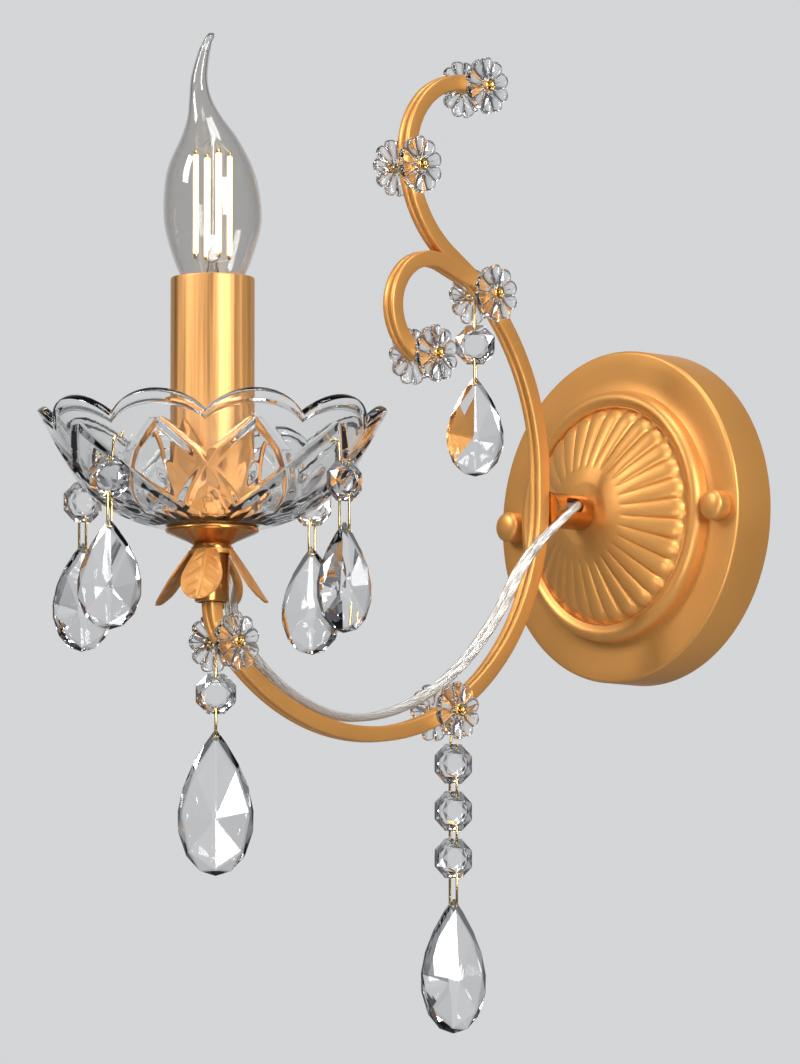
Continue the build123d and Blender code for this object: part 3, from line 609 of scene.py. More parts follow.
def cap_nuts():
    """The two round nuts with domed ends that hold the canopy on its studs."""
    end = CANOPY_DEPTH + NUT_LENGTH
    outline = [(STUD_R, CANOPY_DEPTH), (4.9, CANOPY_DEPTH), (5.3, CANOPY_DEPTH + 0.4),
               (NUT_R, end - NUT_DOME)]
    for step in range(1, 9):
        turn = radians(10 * step)
        outline.append((NUT_R * cos(turn) ** 0.8, end - NUT_DOME + NUT_DOME * sin(turn)))
    outline += [(AXIS_R, end), (AXIS_R, end - 2.0), (STUD_R, end - 2.0)]
    for side, name in ((-1, "left"), (1, "right")):
        nut = moved(turned(outline, on_canopy, 64), Matrix.Translation((side * STUD_X, 0, 0)))
        keep(f"cap_nut_{name}", nut, gold_paint, f"{name}_cap_nut")


def stub():
    """The brazed tube between canopy and arm with the flex's side hole and a fillet of braze."""
    tube = turned([
        (4.3, 27.1), (5.3, 27.1), (5.3, 34.9), (5.8, 35.1), (6.15, 35.5), (6.3, 36.2), (6.3, 52.6),
        (6.6, 53.3), (6.4, 53.9), (AXIS_R, 53.9), (AXIS_R, 50.0), (4.3, 50.0)], on_canopy, 72)
    # The side hole is a slot with round ends.
    hole_reach, hole_z, half_long, half_high = 44.6, 1.8, 4.1, 2.6
    steps = 32
    corners = []
    for x in (2.0, 9.0):
        for turn in all_round(steps):
            along = copysign(half_long - half_high, cos(turn)) + half_high * cos(turn)
            corners.append(at(x, hole_reach + along, hole_z + half_high * sin(turn)))
    keep("stub_tube", cut_away(tube, mesh_of(corners, capped_faces(2, steps))), gold_turned)


def cut_away(mesh, cutter):
    """A mesh with another cut out of it."""
    body = bpy.data.objects.new("body", mesh)
    tool = bpy.data.objects.new("tool", cutter)
    for item in (body, tool):
        scene.collection.objects.link(item)
    change = body.modifiers.new("cut", "BOOLEAN")
    change.operation = "DIFFERENCE"
    change.solver = "EXACT"
    change.object = tool
    ready = bpy.context.evaluated_depsgraph_get()
    result = bpy.data.meshes.new_from_object(body.evaluated_get(ready), depsgraph=ready)
    bpy.data.objects.remove(body)
    bpy.data.objects.remove(tool)
    return result


# ------------------------------------------------------------------ arm and curl

BAR_SIDE = 5.5
GROOVE_WIDTH = 1.3
GROOVE_DEPTH = 0.8
ARM_REACH = 56.7
SCROLL_R = 88.5
SCROLL_Z = 2.5


def on_scroll(angle, offset=0.0):
    """Reach and height at an angle on the scroll's big round, or beside its middle line."""
    radius = SCROLL_R + offset
    return ARM_REACH + SCROLL_R + radius * cos(radians(angle)), SCROLL_Z + radius * sin(radians(angle))


def bent_route(start, heading, pieces):
    """Points of a flat route from straight runs ("run", length) and bends (radius, turn), in degrees.
    Each turn is positive to the left when the reach runs right and the height runs up."""
    here, way = Vector(start), radians(heading)
    points = [here.copy()]
    for first, second in pieces:
        if first == "run":
            here = here + Vector((cos(way), sin(way))) * second
            points.append(here.copy())
            continue
        steps = max(4, int(abs(second) / 2.5))
        side = 1 if second > 0 else -1
        centre = here + Vector((-sin(way), cos(way))) * first * side
        for step in range(1, steps + 1):
            turn = way + radians(second) * step / steps
            points.append(centre - Vector((-sin(turn), cos(turn))) * first * side)
        here, way = points[-1].copy(), way + radians(second)
    return points


def bar_section():
    """The bar's section: a square with soft corners and a groove in two opposite sides."""
    half, slit = BAR_SIDE / 2, GROOVE_WIDTH / 2
    corner = 0.75
    quarter = [(slit * 0.3, half - GROOVE_DEPTH), (slit * 0.75, half - 0.2), (slit * 1.25, half)]
    for step in range(5):
        turn = pi / 2 * (1 - step / 4)
        quarter.append((half - corner + corner * cos(turn), half - corner + corner * sin(turn)))
    quarter.append((half, 0.0))
    right = quarter + [(x, -y) for x, y in reversed(quarter[:-1])]
    return right + [(-x, y) for x, y in reversed(right)]


def bar_along(points):
    """The grooved bar along a flat route."""
    outline = line_curve([Vector((x, y, 0)) for x, y in bar_section()], closed=True)
    section = bpy.data.objects.new("section", outline)
    scene.collection.objects.link(section)
    route = line_curve([at(0, p.x, p.y) for p in points])
    mesh = grown(swept_bar, route, section=section, material=gold_paint)
    bpy.data.objects.remove(section)
    return cleaned(mesh, 1e-6)


# The round ends at this angle, and a wider bend takes the bar on to the candle's line.
FOOT_TURN = 42
foot = on_scroll(-FOOT_TURN)
CUP_BEND_R = (CANDLE_REACH - foot[0]) / (1 - cos(radians(FOOT_TURN)))
ARM_TOP_Z = foot[1] + CUP_BEND_R * sin(radians(FOOT_TURN))
arm_points = bent_route((CANDLE_REACH, ARM_TOP_Z + 0.4), -90, [
    ("run", 0.4), (CUP_BEND_R, -FOOT_TURN), (SCROLL_R, FOOT_TURN - 180), ("run", 9.0), (85.0, -57),
    ("run", 8.5), (42.5, 57), (26.4, 105), ("run", 3.0)])
curl_points = bent_route((92.5, 79.3), 20, [("run", 13.4), (17.8, -160), (13.0, -52)])


def arm_and_curl():
    keep("main_arm", bar_along(arm_points), gold_paint)
    curl = moved(bar_along(curl_points), Matrix.Scale(0.985, 4, (1, 0, 0)))
    keep("scroll_curl", curl, gold_paint)


# ------------------------------------------------------------------ rosettes and pins

ROSETTES = {
    "top": (88.9, 148.6), "back": (121.9, 117.0), "middle": (84.6, 74.5),
    "curl": (114.15, 50.45), "scroll": (103.65, -75.65), "candle": (209.7, -58.1),
}
ROSETTE_R = 10.25
ROSETTE_INNER_X = 5.3
PETALS = 10


def petal_outline(u):
    return ROSETTE_R * (0.86 + 0.14 * sqrt(max(0.0, 1 - abs(u) ** 2.5)))


def petal_height(share, u):
    """Height of the flower's front over its back: share runs from the hole to the petal's edge."""
    wide = abs(u)
    edge = max(0.0, (share - 0.24) / 0.76)
    # Each petal is a low gable with a fine groove on its ridge and a deep crease to its neighbour.
    gable = 0.95 + 0.55 * edge + 1.05 * (1 - wide**1.25) - 0.22 * max(0.0, 1 - wide / 0.10) * (edge > 0.1)
    crease = 0.45 * smooth_step(0.86, 1.0, wide)
    cup = 1.6 - 0.6 * cos(min(1.0, share / 0.24) * pi)
    height = cup + (gable - crease - cup) * smooth_step(0.24, 0.36, share)
    return max(1.0, height - 0.7 * smooth_step(0.92, 1.0, share))


def flower():
    """A pressed glass flower about the upright line, its back at height 0."""
    hole = 0.085
    shares = [hole + (1 - hole) * step / 36 for step in range(37)]
    rows = [lambda u: (hole * ROSETTE_R, 0.0)]
    rows += [(lambda u, s=s: (s * petal_outline(u), petal_height(s, u))) for s in shares]
    rows += [
        lambda u: (petal_outline(u) * 0.995, 0.7),
        lambda u: (petal_outline(u) * 0.975, 0.35),
        lambda u: (petal_outline(u) * 0.93, 0.1),
        lambda u: (petal_outline(u) * 0.5, 0.0),
        lambda u: (hole * ROSETTE_R, 0.0),
    ]
    return around(slice_of(rows, PETALS, 18), PETALS, pressed_glass)


def sideways(side):
    """Turns local up to a side, without a mirror."""
    return Matrix.Rotation(side * pi / 2, 4, "Y")


def rosettes():
    shape = flower()
    for name, (reach, z) in ROSETTES.items():
        pair = [moved(shape, Matrix.Translation(at(side * ROSETTE_INNER_X, reach, z)) @ sideways(side)
                      @ Matrix.Rotation(radians(18 if side < 0 else 0), 4, "Z")) for side in (-1, 1)]
        keep(f"rosettes_{name}", joined(pair), pressed_glass)


def upright(r, turn, h):
    return Vector((r * cos(turn), r * sin(turn), h))


def rosette_pins():
    """A wire through every pair, with a round end and a wire ring on each side of the bar."""
    ball_r, ball_at = 1.0, 9.3
    ball = [(ball_r * sin(turn), ball_at + ball_r * cos(turn))
            for turn in [pi * i / 10 for i in range(1, 10)]]
    ball = [(AXIS_R, ball_at + ball_r)] + ball + [(AXIS_R, ball_at - ball_r)]
    ring_r, ring_wire_r, ring_at = 1.95, 0.38, 8.3
    washer = [(ring_r + ring_wire_r * cos(turn), ring_at + ring_wire_r * sin(turn))
              for turn in all_round(10)]
    cup = [(0.8, 6.6), (1.2, 7.3), (1.8, 8.1), (1.7, 8.4), (1.0, 7.9), (0.8, 7.6)]
    wire = [(0.8, -9.0), (0.8, 9.0), (AXIS_R, 9.0), (AXIS_R, -9.0)]
    pieces = [turned(outline, upright, 28) for outline in (ball, cup, washer + washer[:1])]
    shaft = turned(wire, upright, 12)
    parts = []
    for reach, z in ROSETTES.values():
        place = Matrix.Translation(at(0, reach, z))
        parts.append(moved(shaft, place @ sideways(1)))
        for side in (-1, 1):
            parts += [moved(piece, place @ sideways(side)) for piece in pieces]
    keep("rosette_pins", joined(parts), brass)


# ------------------------------------------------------------------ candle

def candle_cup():
    """The turned cup under the drip pan and the socket below its waist."""
    outline = [
        (4.95, -44.5), (5.7, -44.5), (6.0, -44.1), (6.0, -27.0), (6.5, -26.6), (7.25, -26.3), (7.3, -25.9),
        (7.25, -25.5), (6.6, -25.2), (6.7, -24.6), (8.4, -23.6), (11.2, -22.4), (14.0, -21.2), (15.6, -20.5),
        (16.15, -20.15), (16.3, -19.6), (16.1, -19.05), (15.3, -18.5), (4.95, -18.5),
    ]
    mesh = turned(outline, on_candle, 96)
    # The socket is open towards the wall, where the flex goes in.
    wide, deep, low, high = 3.3, 12.0, -40.5, -30.5
    corners = [at(x, CANDLE_REACH - r, z) for x in (-wide, wide) for r in (0.01, deep) for z in (low, high)]
    faces = [(0, 1, 3, 2), (4, 6, 7, 5), (0, 4, 5, 1), (2, 3, 7, 6), (0, 2, 6, 4), (1, 5, 7, 3)]
    mesh = cut_away(mesh, mesh_of(corners, faces))
    keep("candle_cup", mesh, gold_turned)


def leaf_relief(share, u, vein_count, vein_depth):
    """How far a leaf's face stands out: a fold, a pressed middle vein, slanting strokes and a lip."""
    fold = (1 - abs(u)) ** 1.5
    strokes = (share * vein_count - abs(u) * 1.1) % 1.0
    vein = vein_depth * max(0.0, 1 - abs(strokes - 0.5) / 0.2) * (0.15 < abs(u) < 0.78)
    middle = vein_depth * max(0.0, 1 - abs(u) / 0.1)
    pressed = (vein + middle) * smooth_step(0.05, 0.2, share) * (1 - smooth_step(0.75, 0.95, share))
    return fold - pressed + 0.3 * smooth_step(0.8, 1.0, abs(u))


def veined_leaf(stations, vein_count, vein_depth):
    """A pressed metal leaf: stations are (radius, height, half width) from its foot to its tip."""
    thick, columns, rows = 0.8, 28, 54
    points = []
    for skin in (0, 1):
        for row in range(rows + 1):
            share = row / rows
            r, z, half = through(stations, share)
            for column in range(columns + 1):
                u = 2 * column / columns - 1
                out = leaf_relief(share, u, vein_count, vein_depth) + skin * thick
                points.append((r + out, u * max(0.25, half), z))
    count = (rows + 1) * (columns + 1)
    faces = grid_faces(rows + 1, columns + 1, False)
    faces += [tuple(reversed([index + count for index in face])) for face in faces]
    wide = columns + 1
    ring = list(range(wide)) + [row * wide + columns for row in range(1, rows + 1)]
    ring += [rows * wide + column for column in range(columns - 1, -1, -1)]
    ring += [row * wide for row in range(rows - 1, 0, -1)]
    for first, second in zip(ring, ring[1:] + ring[:1]):
        faces.append((first, second, second + count, first + count))
    return mesh_of(points, faces)


def leaf_ring(name, stations, veins, count, azimuth, collar):
    """Leaves repeated round the candle line by the node tree, with the ring that carries them."""
    leaves = grown(repeat_round, veined_leaf(stations, *veins), count=count, material=gold_leafed)
    ring = turned(collar, on_candle, 72)
    keep(name, joined([moved(leaves, round_candle(azimuth)), ring]), gold_leafed)


def all_leaves():
    upper = [(15.0, -15.0, 4.4), (15.1, -5.3, 6.6), (15.8, 3.7, 6.2), (17.6, 11.7, 3.8), (20.2, 17.4, 0.4)]
    leaf_ring("upper_leaves", upper, (5, 0.12), 6, 20,
              [(5.0, -15.3), (16.2, -15.3), (16.2, -14.3), (5.0, -14.3)])
    lower = [(6.1, -26.6, 3.4), (8.3, -30.2, 5.2), (12.0, -36.2, 7.2), (15.2, -41.0, 6.4),
             (18.0, -44.2, 3.6), (18.8, -45.2, 0.5)]
    leaf_ring("lower_leaves", lower, (6, 0.5), 4, 32,
              [(6.05, -27.8), (7.4, -27.8), (7.4, -26.25), (6.05, -26.25)])


def candle_sleeve():
    outline = [(13.8, -14.3), (14.6, -14.3), (14.6, 67.6), (14.45, 68.3), (14.2, 68.5), (13.95, 68.3),
               (13.8, 67.6)]
    keep("candle_sleeve", turned(outline, on_candle, 96), gold_drawn)


# ------------------------------------------------------------------ drip pan

PAN_FLOOR = -18.5
PAN_WALL = 3.2
PAN_HOLE_R = 5.2
PAN_FOOT = Vector((19.0, PAN_FLOOR))
PAN_BELLY = Vector((41.5, -13.2))
PAN_BEND = Vector((50.5, 3.3))
PAN_RIM = Vector((61.0, 22.5))
PAN_FLARE = (PAN_RIM - PAN_BEND).normalized()
BEND_SHARE = 0.55
RIM_BULGE = 0.5
SCALLOPS = 10
SCALLOP_DIP = 15.4
SCALLOP_PEAK = 22.5
SCALLOP_FIRST_DIP = 9.0
ARCH_FOOT = 0.10
ARCH_TIP = 0.80


def crest(u):
    """Height of the rim across one scallop."""
    half = PAN_RIM.x * sin(pi / SCALLOPS)
    rise = SCALLOP_PEAK - SCALLOP_DIP
    arch_r = (half * half + rise * rise) / (2 * rise)
    return SCALLOP_PEAK - arch_r + sqrt(arch_r**2 - (half * u) ** 2)


def pan_outer(share, u):
    """A point (radius, height) on the pan's outside: share 0 at the foot, 1 at the rim."""
    if share < BEND_SHARE:
        t = share / BEND_SHARE
        return PAN_FOOT.lerp(PAN_BELLY, t).lerp(PAN_BELLY.lerp(PAN_BEND, t), t)
    rim = PAN_BEND + PAN_FLARE * ((crest(u) - RIM_BULGE - PAN_BEND.y) / PAN_FLARE.y)
    return PAN_BEND.lerp(rim, (share - BEND_SHARE) / (1 - BEND_SHARE))


def pan_cut(share, u):
    """Depth of the cuts in the outside: pointed arches that cross, ovals between them, ribs low down
    and one line that follows the rim."""
    depth = 0.0
    if ARCH_FOOT < share < ARCH_TIP:
        spread = 3.0 * (ARCH_TIP - share) ** 1.05
        half_width = 0.15 + 0.22 * (ARCH_TIP - share)
        ends = min(1.0, (share - ARCH_FOOT) / 0.05)
        for lobe in (-2, 0, 2):
            off = abs(abs(u + lobe) - spread) / half_width
            depth = max(depth, 1.3 * ends * max(0.0, 1 - off))
    for lobe in (-2, 0, 2):
        for centre_u, centre_share, wide, tall in ((1.0, 0.25, 0.36, 0.065), (0.0, 0.40, 0.24, 0.09)):
            off = hypot((abs(u + lobe) - centre_u) / wide, (share - centre_share) / tall)
            depth = max(depth, 1.1 * max(0.0, 1 - off))
    if 0.02 < share < 0.14:
        depth = max(depth, 0.5 * abs(sin(u * pi * 1.5)) * sin(pi * (share - 0.02) / 0.12))
    return max(depth, 0.6 * max(0.0, 1 - abs(share - 0.9375) / 0.024))


def pan_skin(share, u, depth):
    """A point of the pan's outside, moved in by a depth."""
    along = pan_outer(min(1.0, share + 0.01), u) - pan_outer(max(0.0, share - 0.01), u)
    return pan_outer(share, u) - Vector((along.y, -along.x)).normalized() * depth


def pan_inside(share, u):
    r, z = pan_skin(share, u, PAN_WALL)
    return max(r, 14.0), max(z, PAN_FLOOR + PAN_WALL)


def pan_rim(turn, u):
    """A point of the rounded rim, from the outside at turn 0 to the inside at half a turn."""
    normal = Vector((PAN_FLARE.y, -PAN_FLARE.x))
    middle = pan_outer(1.0, u) - normal * (PAN_WALL / 2)
    return tuple(middle + normal * (PAN_WALL / 2 * cos(turn)) + PAN_FLARE * (RIM_BULGE * sin(turn)))


def drip_pan():
    """The glass drip pan: one scallop, cut and rounded at its rim, repeated ten times."""
    steps = 80
    rows = level_rows([(PAN_HOLE_R, PAN_FLOOR), (12.0, PAN_FLOOR)])
    for share in [step / steps for step in range(steps + 1)]:
        rows.append(lambda u, share=share: tuple(pan_skin(share, u, pan_cut(share, u))))
    rows += [lambda u, turn=pi * step / 6: pan_rim(turn, u) for step in range(1, 6)]
    rows += [lambda u, share=1 - step / 20: pan_inside(share, u) for step in range(21)]
    rows += level_rows([(12.0, PAN_FLOOR + PAN_WALL), (PAN_HOLE_R, PAN_FLOOR + PAN_WALL),
                        (PAN_HOLE_R, PAN_FLOOR)])
    bowl = around(slice_of(rows, SCALLOPS, 56), SCALLOPS, bowl_glass)
    place = round_candle(SCALLOP_FIRST_DIP + 180 / SCALLOPS)
    keep("drip_pan", moved(bowl, place), bowl_glass)


# ------------------------------------------------------------------ bulb

BULB_STATIONS = [
    (66.0, 7.6, 0.0), (69.5, 11.2, 0.0), (78.0, 14.6, 0.0), (88.0, 17.0, 0.0), (99.0, 16.6, -0.4),
    (108.0, 14.5, -0.9), (117.5, 9.9, -1.3), (124.5, 6.2, -2.8), (131.5, 3.9, -4.4),
    (139.0, 2.9, -4.8), (147.5, 2.1, -3.2), (151.0, 1.55, -2.1), (153.0, 1.55, -1.2), (154.3, 0.9, -0.6),
]
BULB_TAIL_AZIMUTH = 136.0
STRIP_AZIMUTH = 66.0
STRIP_CIRCLE_R = 6.2


def bulb_skin(inset, last):
    """The glass, or its inner face set in from it, up to a share of its height."""
    sides, steps = 64, 66
    points = []
    for step in range(steps + 1):
        z, r, lean = through(BULB_STATIONS, last * step / steps)
        centre = at(0, CANDLE_REACH, z + (inset if step == 0 else 0)) + compass(BULB_TAIL_AZIMUTH) * lean
        points += [centre + upright(max(0.25, r - inset), turn, 0) for turn in all_round(sides)]
    return mesh_of(points, capped_faces(steps + 1, sides))


def bulb_glass():
    """The flame-shaped glass with its bent tip and a thin wall."""
    inner = bulb_skin(0.7, 0.78)
    inner.flip_normals()
    keep("bulb_glass", joined([bulb_skin(0.0, 1.0), inner]), thin_glass, "bulb")


def bulb_cap():
    pitch, groove_r, crest_r = 2.6, 6.3, 6.95
    cap = [(AXIS_R, 40.2), (3.0, 40.2), (3.4, 41.4), (6.2, 43.6)]
    for turn in range(6):
        cap += [(groove_r, 45.0 + turn * pitch), (crest_r, 46.3 + turn * pitch)]
    cap += [(6.5, 60.8), (crest_r, 62.0), (crest_r, 65.6), (AXIS_R, 65.6)]
    keep("bulb_cap", turned(cap, on_candle, 64), bulb_metal, "bulb")


def light_stick(low, high, wide, thick):
    """One upright stick with rounded ends, standing out from the bulb's line."""
    sides = 16
    levels = ((low, 0.4), (low + 0.25, 0.8), (low + 0.7, 1.0),
              (high - 0.7, 1.0), (high - 0.25, 0.8), (high, 0.4))
    points = [(STRIP_CIRCLE_R + thick * pinch * cos(turn), wide * pinch * sin(turn), level)
              for level, pinch in levels for turn in all_round(sides)]
    return mesh_of(points, capped_faces(len(levels), sides))


def bulb_lights():
    """Four light strips with brass ends, on wires from a glass stem and a mast."""
    place = round_candle(STRIP_AZIMUTH)
    strips = grown(repeat_round, light_stick(76.5, 111.5, 1.15, 0.95), count=4, material=light_strip)
    keep("bulb_filaments", moved(strips, place), light_strip, "bulb")
    stem = [(AXIS_R, 66.8), (3.2, 66.8), (2.9, 69.0), (1.7, 72.5), (1.6, 78.0), (0.9, 79.2), (AXIS_R, 79.4)]
    keep("bulb_stem", turned(stem, on_candle, 32), thin_glass, "bulb", nodes=())
    tabs = joined([light_stick(74.9, 77.3, 0.75, 0.6), light_stick(110.7, 113.2, 0.75, 0.6)])
    tabs = moved(grown(repeat_round, tabs, count=4, material=brass), place)
    keep("filament_tabs", tabs, brass, "bulb", nodes=())

    def wire(points, radius, bend, sides):
        return grown(bent_wire, line_curve(points), radius=radius * MM, bend=bend * MM, sides=sides,
                     material=steel)

    def on_axis(z):
        return at(0, CANDLE_REACH, z)

    wires = [wire([on_axis(78.0), on_axis(119.0)], 0.3, 0.5, 8)]
    for i in range(4):
        side = compass(STRIP_AZIMUTH + 90 * i) * STRIP_CIRCLE_R
        wires.append(wire([on_axis(118.4), side + on_axis(112.5), side + on_axis(111.4)], 0.16, 0.8, 6))
        wires.append(wire([on_axis(74.0), side + on_axis(75.0), side + on_axis(76.6)], 0.16, 0.8, 6))
    keep("filament_wires", joined(wires), steel, "bulb", nodes=())


# ------------------------------------------------------------------ flex

FLEX_CORE_R = 1.4
FLEX_APART = 2.95


def flex_route():
    """The flex's corners, each with the way its two cores lie apart."""
    level = Vector((1, 0, 0))
    route = [
        (at(2.0, 44.0, 1.8), Vector((0, 1, 0))),
        (at(8.6, 45.4, 1.6), Vector((0.2, 0.8, 0.5))),
        (at(9.6, 52.6, -3.0), Vector((0.6, 0.35, 0.65))),
        (at(6.0, 61.6, -11.6), Vector((0.85, 0.2, 0.4))),
    ]
    for angle, inward in ((197, 6.0), (214, 8.6), (236, 8.5), (258, 6.3), (277, 3.4), (296, 3.9), (312, 5.7)):
        reach, z = on_scroll(angle, -inward)
        route.append((at(0, reach, z), level))
    for reach, z in ((205.6, -51.0), (207.3, -41.0), (209.2, -34.6), (214.0, -32.2)):
        route.append((at(0, reach, z), level))
    return route


def supply_flex():
    """The clear twin flex: two clear cores over bundles of bright strands."""
    clear_parts, strand_parts = [], []
    for side in (-1, 1):
        corners = [middle + apart.normalized() * (side * FLEX_APART / 2) for middle, apart in flex_route()]
        line = line_curve(corners, smooth=True, resolution=8)
        clear_parts.append(grown(bent_wire, line, radius=FLEX_CORE_R * MM, bend=0.0, sides=20,
                                 material=clear_vinyl))
        line = line_curve(corners, smooth=True, resolution=8)
        strand_parts.append(grown(twisted_strands, line, count=8, lay_radius=0.62 * MM, radius=0.17 * MM,
                                  turns=4.0, material=strand))
    keep("supply_flex", cleaned(joined(clear_parts), 1e-6), clear_vinyl)
    keep("flex_strands", joined(strand_parts), strand, nodes=())


# ------------------------------------------------------------------ stones and their wires

WIRE_R = 0.45
BEAD_SIZE = 14.0
BEAD_HOLE = 5.0
WIRE_OUT = 2.8
EYE_X = 4.2
TIP_HOLE = 3.2
STONE_EDGE = 0.7  # half the girdle's thickness
DROP_BELLY = 0.62
PIN_EYE_R = 1.42
PIN_EYE_WIRE_R = 0.43
HOOK_Z = 8.5
HOOK_IN = 49.2
HOOK_OUT = 54.8
HOOK_END = 2.2
WIRE_TAIL = 2.0
PAN_BEAD_OUT = 57.2
PAN_BEAD_FALL = 14.6
PAN_LINK_FALL = 12.5


def frame_of(centre, facing):
    """A matrix whose local Z is the facing way and local Y is up."""
    side = upward(1).cross(facing).normalized()
    turn = Matrix((side, upward(1), facing)).transposed().to_4x4()
    return Matrix.Translation(centre) @ turn


def two_sided(points, faces, count):
    """A stone from its front: the same behind, and a girdle round its first count points."""
    back = len(points)
    points += [(x, y, -z) for x, y, z in points]
    faces += [tuple(index + back for index in reversed(face)) for face in faces]
    faces += [(i, (i + 1) % count, back + (i + 1) % count, back + i) for i in range(count)]
    return mesh_of(points, faces)


def star_cut(outline, edge, levels):
    """A stone with a flat table. Its rings step half a corner on in turn, so that it has no square facet.

    levels are (share of the way from the outline to the middle, height)."""
    count = len(outline)
    points = [(x, y, edge) for x, y in outline]
    faces = []
    for order, (share, height) in enumerate(levels):
        half_on = order % 2 == 0
        for i, (x, y) in enumerate(outline):
            if half_on:
                x, y = (x + outline[(i + 1) % count][0]) / 2, (y + outline[(i + 1) % count][1]) / 2
            points.append((x - x * share, y - y * share, height))
        base, above = order * count, (order + 1) * count
        for i in range(count):
            j = (i + 1) % count
            low = [(base + i, base + j, above + i), (base + j, above + j, above + i)]
            high = [(base + i, above + j, above + i), (base + i, base + j, above + j)]
            faces += low if half_on else high
    last = len(levels) * count
    faces.append(tuple(range(last, last + count)))
    return two_sided(points, faces, count)


def kite_cut(outline, focus, edge, inset, height, top):
    """A stone with large facets that meet in a point, over a narrow ring of small ones.

    The outline has an even number of points, and every second one starts a large facet."""
    count = len(outline)
    points = [(x, y, edge) for x, y in outline]
    for x, y in outline[::2]:
        points.append((x + (focus[0] - x) * inset, y + (focus[1] - y) * inset, height))
    points.append((focus[0], focus[1], top))
    half = count // 2
    faces = []
    for i in range(half):
        low, middle, high = 2 * i, 2 * i + 1, (2 * i + 2) % count
        here, there = count + i, count + (i + 1) % half
        faces += [(low, middle, here), (middle, high, there), (middle, there, here)]
        faces.append((here, there, count + half))
    return two_sided(points, faces, count)


def drilled(mesh, heights):
    """A stone with small round holes through it at heights on its middle line."""
    steps, r, far = 12, WIRE_R + 0.05, 9.0
    points, faces = [], []
    for height in heights:
        first = len(points)
        points += [(r * cos(turn), height + r * sin(turn), z) for z in (-far, far)
                   for turn in all_round(steps)]
        faces += [tuple(first + index for index in face) for face in capped_faces(2, steps)]
    return cut_away(mesh, mesh_of(points, faces))


def make_bead():
    """An octagon bead with a hole at its top and its foot."""
    corner = BEAD_SIZE / 2 / cos(pi / 8)
    turns = [pi * (2 * i + 1) / 8 for i in range(8)]
    outline = [(corner * cos(turn), corner * sin(turn)) for turn in turns]
    return drilled(star_cut(outline, STONE_EDGE, [(0.26, 2.0), (0.47, 3.0)]), (-BEAD_HOLE, BEAD_HOLE))


def make_drop(length, width):
    """An almond drop hung by its tip: its star point lies about two thirds of the way down."""
    half, belly, thick = width / 2, length * DROP_BELLY, 0.4 * width
    side = []
    for share in (0.10, 0.24, 0.40, 0.56):
        side.append((half * sin(share / DROP_BELLY * pi / 2) ** 0.92, -share * length))
    for angle in (12, 40, 66):
        side.append((half * cos(radians(angle)), -belly - (length - belly) * sin(radians(angle))))
    left = [(-x, y) for x, y in side]
    outline = [(0.0, 0.0)] + left + [(0.0, -length)] + side[::-1]
    stone = kite_cut(outline, (0, -DROP_BELLY * length), STONE_EDGE, 0.13, 0.19 * thick, thick / 2)
    return drilled(stone, (-TIP_HOLE,))


def bent(points, radius=WIRE_R, bend=0.8, closed=False):
    return grown(bent_wire, line_curve(points, closed=closed), radius=radius * MM, bend=bend * MM, sides=10,
                 material=brass)


def loop_link(hole, facing, fall):
    """A wire loop through a bead's lower hole and the next stone's upper hole."""
    out, down = facing * WIRE_OUT, upward(-fall)
    return bent([hole - out, hole + out, hole + out + down, hole - out + down], closed=True)


def pan_strings(bead_shape, small_drop):
    """Four strings: a wire through the drip pan's wall, a bead, a loop and an almond drop."""
    spots = (("front", 9.7, 34), ("right", 99.7, 83), ("back", 189.7, 205), ("left", 279.7, 253))
    for name, azimuth, turn in spots:
        way, facing = compass(azimuth), compass(turn)
        level = at(0, CANDLE_REACH, HOOK_Z)
        bead_at = level + way * PAN_BEAD_OUT - upward(PAN_BEAD_FALL)
        hole = bead_at + upward(BEAD_HOLE)
        out = facing * (WIRE_OUT if facing.dot(way) > 0 else -WIRE_OUT)
        wire = [level + way * HOOK_IN + upward(HOOK_END), level + way * HOOK_IN,
                level + way * HOOK_OUT, hole - out, hole + out, hole + out + upward(WIRE_TAIL)]
        lower = bead_at - upward(BEAD_HOLE)
        tip = lower - upward(PAN_LINK_FALL - TIP_HOLE)
        hang(f"pan_{name}_hook", bent(wire, bend=1.7), f"pan_{name}_upper")
        hang_stone(f"pan_{name}_bead", bead_shape, bead_at, facing, f"pan_{name}_upper")
        hang(f"pan_{name}_link", loop_link(lower, facing, PAN_LINK_FALL), f"pan_{name}_lower")
        hang_stone(f"pan_{name}_drop", small_drop, tip, facing, f"pan_{name}_lower")


def hang(name, mesh, body):
    keep(name, mesh, brass, body)


def hang_stone(name, shape, place, facing, body):
    keep(name, moved(shape, frame_of(place, facing)), cut_glass, body, flat=True)


